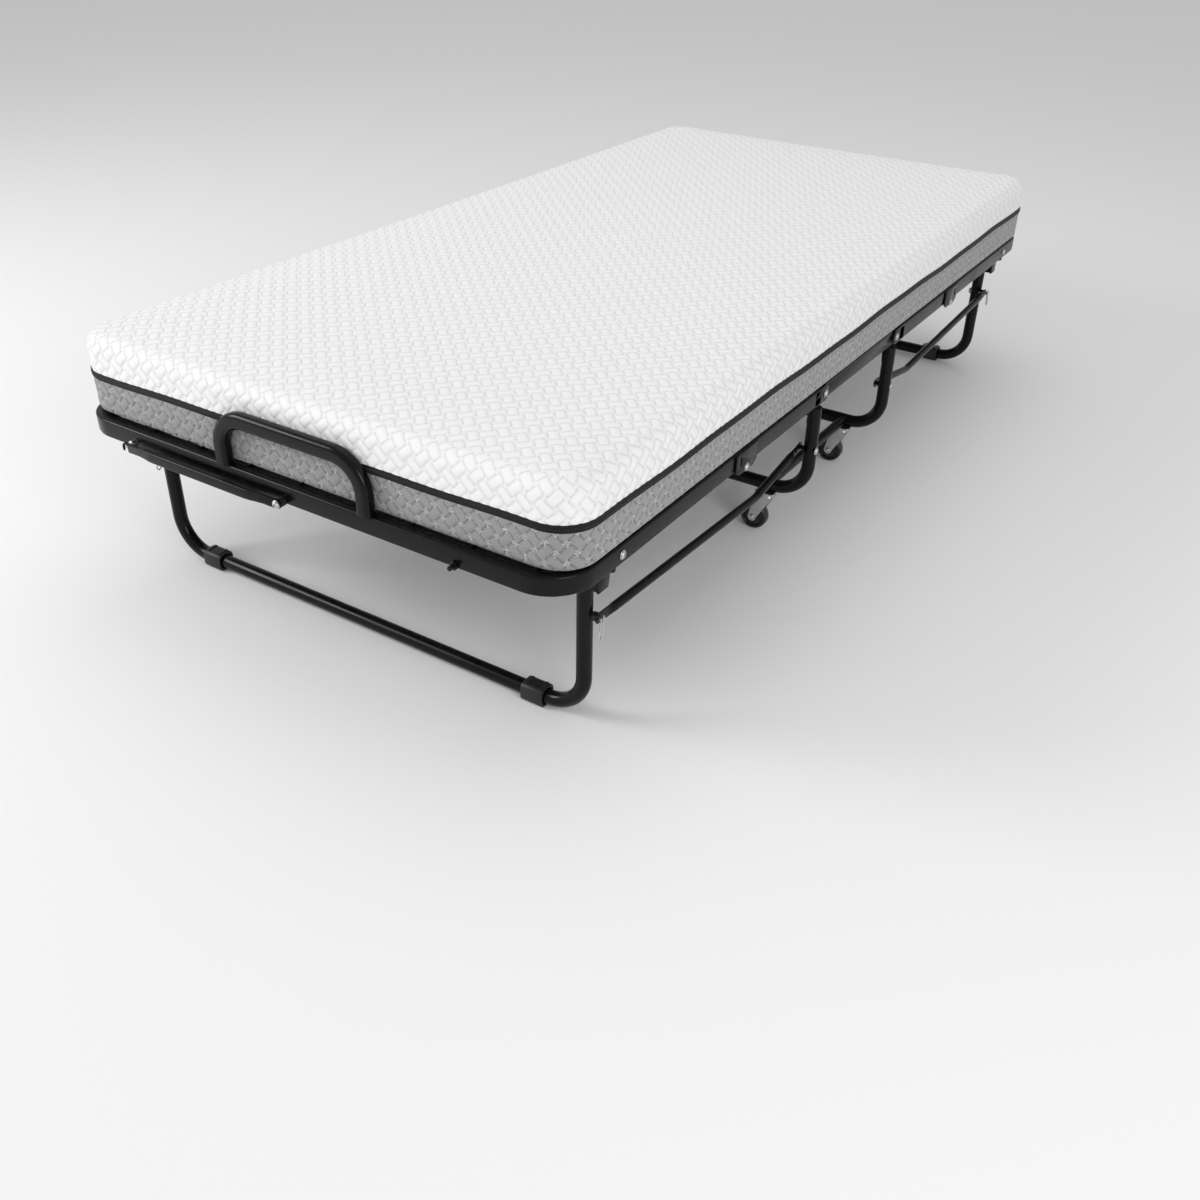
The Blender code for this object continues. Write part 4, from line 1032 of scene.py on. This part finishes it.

# %% [markdown]
# ## Mattress
# The mattress is one slab of foam in a quilted knit cover, white above the zip and grey below it, and it
# bends where the bed folds. It is built as two halves that meet in the middle. Each half has a white
# block and a grey one. A block is a plate of small squares, a round edge, and a wall down to the zip, all
# on one grid, so the quilting can be raised as real relief.

# %% Mattress places
mattress_low, mattress_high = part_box("far_mattress")
SIDE = mattress_high.y
END = mattress_high.x
TOP = mattress_high.z
BOTTOM = mattress_low.z
ZIP_Z = (TOP + BOTTOM) / 2
CORNER = 0.060
TOP_EDGE = 0.022
BOTTOM_EDGE = 0.008
QUILT_PITCH = 0.021

# The walk round one half is a whole number of quilt repeats, so the halves match where they meet
straight_run = END - CORNER
end_run = math.pi * CORNER + 2 * (SIDE - CORNER)
walk = 2 * straight_run + end_run
repeat = QUILT_PITCH * math.sqrt(2)
END_SCALE = (round(walk / repeat) * repeat - 2 * straight_run) / end_run
print(f"outline {walk:.3f} m, quilt drawn at {END_SCALE:.4f} of its size round the end")


def walk_on_cloth(t):
    """How far along the cloth a place on the outline is; the long sides keep their true length."""
    return t + (END_SCALE - 1) * min(max(t - straight_run, 0), end_run)


# %% [markdown]
# The cover is knitted as two sets of soft bands that cross at 45 degrees, over and under by turns. The
# height of that weave is a short rule: a band rises and falls along its length like a cosine, is
# rounded across, and hides where the other band is higher. The rule is written twice, once with
# arrays for the real relief and once with shader nodes for the fine creases and the colour. Widths are
# shares of the quilt's pitch. The pale flecks spread a little past the gaps between the bands.

# %% The quilt as a rule
BAND_HALF = 0.36
FLECK_FROM = 0.28
GAP_HEIGHT = 0.62
WAVE_LEAN = 0.35
WAVE_GAIN = 2.6


def quilt_height(u, v):
    """The weave's height from 0 to 1 at places in metres on the cover."""
    turn = math.sqrt(0.5) / QUILT_PITCH
    a, b = (u - v) * turn, (u + v) * turn
    i, j = np.floor(a), np.floor(b)
    near_a, near_b = np.abs(a - i - 0.5), np.abs(b - j - 0.5)
    height = np.zeros(np.shape(a))
    for wave, across in (
        (np.cos(math.pi * (a - 0.5 - j)), near_b),
        (-np.cos(math.pi * (b - 0.5 - i)), near_a),
    ):
        flat_wave = np.tanh(WAVE_GAIN * (wave + WAVE_LEAN))
        pad = 0.5 * flat_wave + 0.5 * (1 - (across / BAND_HALF) ** 3)
        height = np.where(across < BAND_HALF, np.maximum(height, pad), height)
    return np.where(np.minimum(near_a, near_b) < BAND_HALF, height, GAP_HEIGHT)


# %% Blocks of the cover


def outline(t, inset):
    """A place on the half's outline, this far in from it; t runs round it in metres. Gives x, y, outward."""
    straight = END - CORNER
    quarter = math.pi / 2 * CORNER
    flat = 2 * (SIDE - CORNER)
    if t <= straight:
        return t, -SIDE + inset, 0.0, -1.0
    t -= straight
    if t <= quarter:
        turn = t / CORNER
        out = (math.sin(turn), -math.cos(turn))
        return straight + (CORNER - inset) * out[0], -SIDE + CORNER + (CORNER - inset) * out[1], *out
    t -= quarter
    return END - inset, -SIDE + CORNER + min(t, flat), 1.0, 0.0


def cover_block(spacing, edge, face_z, zip_z):
    """One closed block: its places, its faces, its outward directions and its cloth coordinates."""
    rise = 1 if face_z > zip_z else -1
    straight, quarter = END - CORNER, math.pi / 2 * CORNER
    rows = [straight * k / round(straight / spacing) for k in range(round(straight / spacing) + 1)]
    corner_steps = max(3, round(quarter / spacing))
    rows += [straight + quarter * (k + 1) / corner_steps for k in range(corner_steps)]
    columns = round(2 * (SIDE - edge) / spacing)
    wall = abs(face_z - zip_z) - edge
    bend_steps = max(3, round(edge * math.pi / 2 / spacing * 1.4))
    wall_steps = max(2, round(wall / spacing * 1.15))
    spots, faces, outward, cloth = [], [], [], []

    def add_spot(place, out, uv):
        spots.append(place)
        outward.append(out)
        cloth.append(uv)
        return len(spots) - 1

    grid = []
    for t in rows:
        x, y, *_ = outline(t, edge)
        line = []
        for k in range(columns + 1):
            across = y * (1 - 2 * k / columns)
            line.append(add_spot((x, across, face_z), (0, 0, rise), (x, across)))
        grid.append(line)
    for first, second in zip(grid, grid[1:]):
        for k in range(columns):
            faces.append((first[k], second[k], second[k + 1], first[k + 1]))
    rim = [line[0] for line in grid] + grid[-1][1:-1] + [line[-1] for line in reversed(grid)]
    walks = [(t, 1) for t in rows]
    end_y = outline(rows[-1], edge)[1]
    for k in range(1, columns):
        walks.append((straight + quarter + end_y * (1 - 2 * k / columns) + SIDE - CORNER, 1))
    walks += [(t, -1) for t in reversed(rows)]
    loops = [rim]
    rounds = [walk_on_cloth(t if side > 0 else walk - t) for t, side in walks]
    rim_cloth = [(around, edge - SIDE) for around in rounds]
    for step in range(1, bend_steps + wall_steps + 1):
        turn = math.pi / 2 * min(1, step / bend_steps)
        below = wall * max(0, step - bend_steps) / wall_steps
        inset = edge * (1 - math.sin(turn))
        z = face_z - rise * (edge * (1 - math.cos(turn)) + below)
        down = edge * turn + below
        loop = []
        for (t, side), around in zip(walks, rounds):
            x, y, out_x, out_y = outline(t, inset)
            if straight + quarter < t:
                y = max(-SIDE + CORNER, min(SIDE - CORNER, t - straight - quarter - SIDE + CORNER))
            out = (out_x * math.sin(turn), side * out_y * math.sin(turn), rise * math.cos(turn))
            loop.append(add_spot((x, side * y, z), out, (around, edge - SIDE - down)))
        loops.append(loop)
    for first, second in zip(loops, loops[1:]):
        for k in range(len(first) - 1):
            faces.append((first[k + 1], first[k], second[k], second[k + 1]))
    last = loops[-1]
    for k in range(len(rows) - 1):
        faces.append((last[k + 1], last[k], last[-1 - k], last[-2 - k]))
    faces.append(tuple(last[len(rows) - 1 : len(last) - len(rows) + 1]))
    cut = list(grid[0]) + [loop[-1] for loop in loops[1:]] + [loop[0] for loop in reversed(loops[1:])]
    faces.append(tuple(cut))
    if rise < 0:
        faces = [face[::-1] for face in faces]
    plate_cloth = np.array(cloth)
    wall_cloth = plate_cloth.copy()
    wall_cloth[rim] = rim_cloth
    counts = (len(rows) * (columns + 1), 4 * (len(rows) - 1) * columns)
    return np.array(spots), faces, np.array(outward, float), (plate_cloth, wall_cloth), counts


# %% [markdown]
# Foam in a stretched cover swells a little between its edges. Blender's cloth gives that swelling: a
# coarse copy of the whole mattress is filled with air, while the points at and under
# the zip stay where they are. A thin cloth has no foam to hold it back, so it lifts far too high. How
# far each point moved is therefore limited, and that limit sets the height of the swell. The result is
# carried over to the fine mesh with a soft blur, because the fine mesh would be too heavy to simulate.

# %% Swell the mattress
CLOTH_GRID = 0.030
CLOTH_FRAMES = 20
CLOTH_PRESSURE = 4.0
MOST_SWELL = 0.006
BLUR_REACH = 0.028


def swollen():
    """Where a coarse mattress's points are, and how far the cloth moved each one."""
    work = bmesh.new()
    rows, columns, layers = round(2 * END / CLOTH_GRID), round(2 * SIDE / CLOTH_GRID), 5
    bmesh.ops.create_cube(work, size=1)
    bmesh.ops.subdivide_edges(
        work, edges=[e for e in work.edges if abs((e.verts[0].co - e.verts[1].co).x) > 0.5], cuts=rows - 1
    )
    bmesh.ops.subdivide_edges(
        work, edges=[e for e in work.edges if abs((e.verts[0].co - e.verts[1].co).y) > 0.5],
        cuts=columns - 1, use_grid_fill=True,
    )
    bmesh.ops.subdivide_edges(
        work, edges=[e for e in work.edges if abs((e.verts[0].co - e.verts[1].co).z) > 0.5],
        cuts=layers - 1, use_grid_fill=True,
    )
    for vert in work.verts:
        vert.co = (vert.co.x * 2 * END, vert.co.y * 2 * SIDE, BOTTOM + (vert.co.z + 0.5) * (TOP - BOTTOM))
    mesh = bpy.data.meshes.new("coarse_mattress")
    work.to_mesh(mesh)
    work.free()
    pad = bpy.data.objects.new("coarse_mattress", mesh)
    bpy.context.scene.collection.objects.link(pad)
    before = np.array([tuple(v.co) for v in mesh.vertices])
    pinned = pad.vertex_groups.new(name="held")
    pinned.add([k for k, place in enumerate(before) if place[2] < ZIP_Z + 0.001], 1.0, "REPLACE")
    cloth = pad.modifiers.new("swell", "CLOTH")
    cloth.settings.use_pressure = True
    cloth.settings.uniform_pressure_force = CLOTH_PRESSURE
    cloth.settings.effector_weights.gravity = 0
    cloth.settings.vertex_group_mass = "held"
    cloth.settings.tension_stiffness = 40
    cloth.settings.compression_stiffness = 40
    cloth.settings.bending_stiffness = 5
    cloth.point_cache.frame_end = CLOTH_FRAMES
    scene = bpy.context.scene
    for number in range(1, CLOTH_FRAMES + 1):
        scene.frame_set(number)
    graph = bpy.context.evaluated_depsgraph_get()
    after = np.array([tuple(v.co) for v in pad.evaluated_get(graph).data.vertices])
    scene.frame_set(1)
    bpy.data.objects.remove(pad, do_unlink=True)
    return before, after - before


sources, moves = swollen()
reached = np.linalg.norm(moves, axis=1)
print(f"swell before the limit: most {reached.max() * 1000:.1f} mm, mean {reached.mean() * 1000:.1f} mm")
scale = np.where(reached > 0, MOST_SWELL * np.tanh(reached / MOST_SWELL) / np.maximum(reached, 1e-9), 0)
moves = moves * scale[:, None]
HALF_TURN_SIGNS = np.array([-1.0, -1.0, 1.0])


def carried(places):
    """The swelling at these places, the same at both ends of the bed."""
    total = np.zeros(places.shape)
    for signs in (np.ones(3), HALF_TURN_SIGNS):
        spots = places * signs
        for k in range(0, len(spots), 4000):
            block = spots[k : k + 4000]
            gap = (block**2).sum(1)[:, None] + (sources**2).sum(1)[None, :] - 2 * block @ sources.T
            share = np.exp(-gap / (2 * BLUR_REACH**2)) + 1e-12
            total[k : k + 4000] += signs * (share @ moves) / share.sum(1, keepdims=True) / 2
    return total


# %% [markdown]
# A fold bends the mattress through a right angle about the hinge bolts, and folded foam closes to one
# sharp crease. Here each piece only has its placement baked into its points, and the points are read
# out as an array.


def bend_with(piece):
    """Bakes the piece's placement into its points and reads the points out as an array."""
    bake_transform(piece)
    places = np.empty(len(piece.data.vertices) * 3, np.float32)
    piece.data.vertices.foreach_get("co", places)
    places = places.reshape(-1, 3)


# %% [markdown]
# ## Cover cloth
# The cover is polyester double jersey, knitted in two layers over a soft filling. Its yarn is matt with a
# faint sheen at a grazing look. Its creases are painted a darker colour as shade, a touch cooler on the
# white. The grey is melange: pale and dark fibres spun together, so it looks flecked, with pale stars
# where the bands meet. The zip tape is woven polyester with fine ribs across it, and its coil is glossier
# nylon. The real yarn is about 0.3 mm thick, which is too fine to show, so it is drawn at about 1 mm.

# %% Cover materials
KNIT_DEPTH = 0.0022
YARN_SHARE = 0.25


def quilted_knit(name, band, crease_shade, fleck, roughness, fleck_share, raised):
    """A quilted knit: bands with painted shade, a darker colour, in the creases between them, pale flecks
    where they meet, and yarn.
    """
    finish, tree, shader = new_finish(name, band, roughness, Sheen_Weight=0.35, Sheen_Roughness=0.5)

    def reckon(operation, *values):
        return add(tree, "ShaderNodeMath", *values, operation=operation)

    uv = add(tree, "ShaderNodeUVMap", uv_map="cloth")
    turn = {"Rotation": (0, 0, math.radians(45)), "Scale": (1 / QUILT_PITCH, 1 / QUILT_PITCH, 1)}
    weave = add(tree, "ShaderNodeMapping", uv, named=turn)
    axes = add(tree, "ShaderNodeSeparateXYZ", weave).outputs
    height = None
    masks, spots = [], []
    for own, other, sign in ((axes["X"], axes["Y"], 1), (axes["Y"], axes["X"], -1)):
        lane = reckon("FLOOR", other)
        phase = reckon("MULTIPLY", reckon("SUBTRACT", reckon("SUBTRACT", own, 0.5), lane), math.pi)
        wave = reckon("MULTIPLY", reckon("COSINE", phase), WAVE_GAIN * sign)
        flat_wave = reckon("TANH", reckon("ADD", wave, WAVE_GAIN * WAVE_LEAN))
        across = reckon("ABSOLUTE", reckon("SUBTRACT", reckon("FRACT", other), 0.5))
        round_top = reckon("SUBTRACT", 1.0, reckon("POWER", reckon("DIVIDE", across, BAND_HALF), 3.0))
        pad = reckon("MULTIPLY", reckon("ADD", flat_wave, round_top), 0.5)
        inside = reckon("LESS_THAN", across, BAND_HALF)
        masks.append(inside)
        spots.append(reckon("GREATER_THAN", across, FLECK_FROM))
        shown = reckon("MAXIMUM", reckon("MULTIPLY", pad, inside), 0.0)
        height = shown if height is None else reckon("MAXIMUM", height, shown)
    gap = reckon("SUBTRACT", 1.0, reckon("MAXIMUM", *masks))
    height = reckon("MAXIMUM", height, reckon("MULTIPLY", gap, GAP_HEIGHT))
    yarn = add(tree, "ShaderNodeTexNoise", uv, named={"Scale": 900.0, "Detail": 2.0})
    heather = add(tree, "ShaderNodeTexNoise", uv, named={"Scale": 420.0, "Detail": 3.0, "Roughness": 0.7})
    speckle = add(tree, "ShaderNodeMapRange", heather, 0.42, 0.62, 0.0, 1.0)
    # Painted shade: where the weave's height is low, in the creases, the colour turns to the darker crease
    # colour, which stands in for the shade that falls there.
    depth = add(tree, "ShaderNodeMapRange", height, 0.2, 0.95, 0.0, 1.0, interpolation_type="SMOOTHSTEP")
    cloth = add(tree, "ShaderNodeMix", depth, data_type="RGBA", named={6: srgb(crease_shade), 7: srgb(band)})
    pale = reckon("MULTIPLY", reckon("MAXIMUM", reckon("MULTIPLY", *spots), fleck_share), speckle)
    shade = add(tree, "ShaderNodeMix", pale, data_type="RGBA", named={6: cloth.outputs[2], 7: srgb(fleck)})
    tree.links.new(shade.outputs[2], shader.inputs["Base Color"])
    fine = reckon("ADD", height, reckon("MULTIPLY", yarn, YARN_SHARE))
    bump = add(tree, "ShaderNodeBump", named={"Strength": raised, "Distance": KNIT_DEPTH, "Height": fine})
    tree.links.new(bump.outputs[0], shader.inputs["Normal"])
    return finish


# The band colour, then the darker colour painted into the creases as shade, then the fleck colour.
white_knit = quilted_knit("quilted_white_knit", "#F2F2F2", "#DEDEE1", "#F6F6F5", 0.85, 0.15, 0.8)
grey_knit = quilted_knit("quilted_grey_melange_knit", "#8C8A8B", "#5C5A5C", "#CDCBCC", 0.88, 0.2, 1.0)

zip_tape, tree, shader = new_finish(
    "black_woven_zip_tape", "#151517", 0.7, Sheen_Weight=0.1, Specular_IOR_Level=0.2,
)
uv = add(tree, "ShaderNodeUVMap", uv_map="cloth")
ribs = add(tree, "ShaderNodeTexWave", uv, named={"Scale": 160.0, "Distortion": 0.4}, bands_direction="X")
bump = add(tree, "ShaderNodeBump", named={"Strength": 0.5, "Distance": 0.0004, "Height": ribs.outputs[1]})
tree.links.new(bump.outputs[0], shader.inputs["Normal"])
worn = add(tree, "ShaderNodeTexNoise", uv, named={"Scale": 300.0})
tone = add(tree, "ShaderNodeMix", worn, data_type="RGBA", named={6: srgb("#0A0A0B"), 7: srgb("#18181A")})
tree.links.new(tone.outputs[2], shader.inputs["Base Color"])

zip_nylon, tree, shader = new_finish("black_nylon_zip_coil", "#0C0C0D", 0.32)
place = add(tree, "ShaderNodeTexCoord").outputs["Object"]
gloss = add(tree, "ShaderNodeTexNoise", place, named={"Scale": 400.0})
worn = add(tree, "ShaderNodeMapRange", gloss, 0.3, 0.7, 0.25, 0.45)
tree.links.new(worn.outputs[0], shader.inputs["Roughness"])

# %% Cover pieces
TOP_RELIEF = 0.0009
WALL_RELIEF = 0.0022
SEAM_FADE = 0.007
SWELL_FADE = 0.02
SIDEWAYS_SHARE = 0.3
CLOTH_SHARP_ANGLE = math.radians(60)


def cloth_mesh(name, places, faces, cloth, plate_corners):
    """A smooth mesh with its cloth coordinates in metres, the plate's first and then the wall's."""
    mesh = bpy.data.meshes.new(name)
    mesh.from_pydata(places.tolist(), [], faces)
    layer = mesh.uv_layers.new(name="cloth")
    corners = np.empty(len(mesh.loops), np.int32)
    mesh.loops.foreach_get("vertex_index", corners)
    on_plate = np.arange(len(corners)) < plate_corners
    spread = np.where(on_plate[:, None], cloth[0][corners], cloth[1][corners])
    layer.data.foreach_set("uv", spread.astype(np.float32).ravel())
    mesh.shade_smooth()
    mesh.set_sharp_from_angle(angle=CLOTH_SHARP_ANGLE)
    return mesh


def put_cover(name, mesh, finish, slot, replaced):
    """The same piece on both halves."""
    for end, matrix in ENDS.items():
        stands_for = replaced.get(end, ())
        piece = put(f"{end}_{name}", copy_at(mesh, matrix), finish, None, slot, *stands_for)
        bend_with(piece)


COVERS = [
    ("mattress_top", 0.0036, TOP_EDGE, TOP, TOP_RELIEF, white_knit, "white_knit"),
    ("mattress_base", 0.0056, BOTTOM_EDGE, BOTTOM, 0.0, grey_knit, "grey_knit"),
]
for name, spacing, edge, face_z, face_relief, finish, slot in COVERS:
    places, faces, outward, cloth, counts = cover_block(spacing, edge, face_z, ZIP_Z)
    plate_count, plate_corners = counts
    relief = quilt_height(cloth[0][:, 0], cloth[0][:, 1])
    from_zip = np.abs(places[:, 2] - ZIP_Z)
    depth = np.full(len(places), face_relief)
    wall_share = 1 - np.abs(outward[plate_count:, 2])
    wall_from_zip = from_zip[plate_count:]
    depth[plate_count:] = WALL_RELIEF * wall_share * np.clip(wall_from_zip / SEAM_FADE, 0, 1)
    deep_share = np.clip((np.abs(face_z - ZIP_Z) - wall_from_zip) / edge, 0, 1)
    depth[plate_count:] += face_relief * (1 - deep_share) * (1 - wall_share)
    closed = places + outward * (depth * (relief - 1))[:, None]
    if face_z > ZIP_Z:
        lift = carried(places) * np.clip(from_zip / SWELL_FADE, 0, 1)[:, None]
        lift[:, :2] *= SIDEWAYS_SHARE * np.clip((END - places[:, :1]) / SWELL_FADE, 0, 1)
        closed = closed + lift
    closed[places[:, 0] == 0, 0] = 0
    mesh = cloth_mesh(name, closed, faces, cloth, plate_corners)
    replaced = {}
    if face_z > ZIP_Z:
        replaced = {"far": ("far_mattress", "mattress_centre"), "near": ("near_mattress",)}
    put_cover(name, mesh, finish, slot, replaced)
    print(name, len(faces), "faces on each half")

# %% [markdown]
# ## Zip
# The zip joins the white and grey covers all the way round, and it is the mattress's one dark line. Its
# tape is a flat strip with two soft ridges, swept round the outline with a slight wander, as a sewn tape
# has. Teeth and stitches are small beads repeated along the same route with Geometry Nodes.

# %% Zip tape
TAPE_HALF = 0.0058
TAPE_PROUD = 0.0012
TAPE_TUCK = 0.004
ZIP_WANDER = 0.0012
ROUTE_STEP = 0.006

route_steps = round(walk / ROUTE_STEP)
tape_route = []
for k in range(route_steps + 1):
    t = walk * k / route_steps
    side = 1 if t <= walk / 2 else -1
    x, y, out_x, out_y = outline(min(t, walk - t), 0)
    wander = ZIP_WANDER * math.sin(math.tau * 5 * k / route_steps)
    wander += ZIP_WANDER * 0.5 * math.sin(math.tau * 13 * k / route_steps)
    tape_route.append((Vector((x, side * y, ZIP_Z + wander)), Vector((out_x, side * out_y, 0)), t))
tape_profile = [(0.2, -1.0), (0.6, -0.92), (0.9, -0.62), (0.55, -0.45), (1.15, -0.22)]
tape_profile += [(0.9, 0.0), (1.15, 0.22), (0.55, 0.45), (0.9, 0.62), (0.6, 0.92), (0.2, 1.0)]
rings = []
for place, out, _ in tape_route:
    points = [place + out * TAPE_PROUD * u + Vector((0, 0, TAPE_HALF * v)) for u, v in tape_profile]
    points.insert(0, place - out * TAPE_TUCK - Vector((0, 0, TAPE_HALF)))
    points.append(place - out * TAPE_TUCK + Vector((0, 0, TAPE_HALF)))
    rings.append(points)
mesh = one_mesh("zip_tape", loft(rings))
layer = mesh.uv_layers.new(name="cloth")
spans = [t for _, _, t in tape_route for _ in rings[0]]
for loop, uv in zip(mesh.loops, layer.data):
    uv.uv = (spans[loop.vertex_index], mesh.vertices[loop.vertex_index].co.z)
put_cover("zip_tape", mesh, zip_tape, "zip_tape", {})
print("zip tape:", len(mesh.polygons), "faces on each half")

# %% Teeth and stitches
TOOTH_PITCH = 0.0028
STITCH_PITCH = 0.0042
TOOTH_SIZE = (0.0016, 0.0016, 0.0042)
STITCH_SIZE = (0.0028, 0.0008, 0.0009)
STITCH_LINE = 0.0044
BEADS_OUT = TAPE_PROUD * 0.9

bead_tree, inlet = new_tree(
    "beads_along_a_route",
    [
        ("Pitch", "NodeSocketFloat", 0.003),
        ("Bead size", "NodeSocketVector", None),
        ("Finish", "NodeSocketMaterial", None),
    ],
)
path = add(bead_tree, "GeometryNodeMeshToCurve", inlet["Geometry"])
stops = add(bead_tree, "GeometryNodeResampleCurve", path, mode="LENGTH", named={"Length": inlet["Pitch"]})
tangent = add(bead_tree, "GeometryNodeInputTangent")
facing = add(bead_tree, "FunctionNodeAlignRotationToVector", named={"Vector": tangent.outputs[0]}, axis="X")
bead = add(bead_tree, "GeometryNodeMeshUVSphere", named={"Segments": 6, "Rings": 4, "Radius": 0.5})
sized = add(bead_tree, "GeometryNodeTransform", bead, named={"Scale": inlet["Bead size"]})
repeated = add(
    bead_tree, "GeometryNodeInstanceOnPoints", stops, named={"Instance": sized, "Rotation": facing}
)
close_tree(bead_tree, repeated, inlet["Finish"])


def bead_row(height, pitch, size):
    """Beads along the zip at this height, as a shape."""
    route = [place + out * BEADS_OUT + Vector((0, 0, height)) for place, out, _ in tape_route]
    path_mesh = bpy.data.meshes.new("route")
    path_mesh.from_pydata([tuple(p) for p in route], [(k, k + 1) for k in range(len(route) - 1)], [])
    return as_shape(run_tree(bead_tree, path_mesh, pitch=pitch, bead_size=size, finish=zip_nylon))


teeth = bead_row(0, TOOTH_PITCH, TOOTH_SIZE)
stitches = [bead_row(z, STITCH_PITCH, STITCH_SIZE) for z in (-STITCH_LINE, STITCH_LINE)]
mesh = one_mesh("zip_teeth", teeth, *stitches)
put_cover("zip_teeth", mesh, zip_nylon, "zip_tape", {})
print("teeth and stitches:", len(mesh.polygons), "faces on each half")
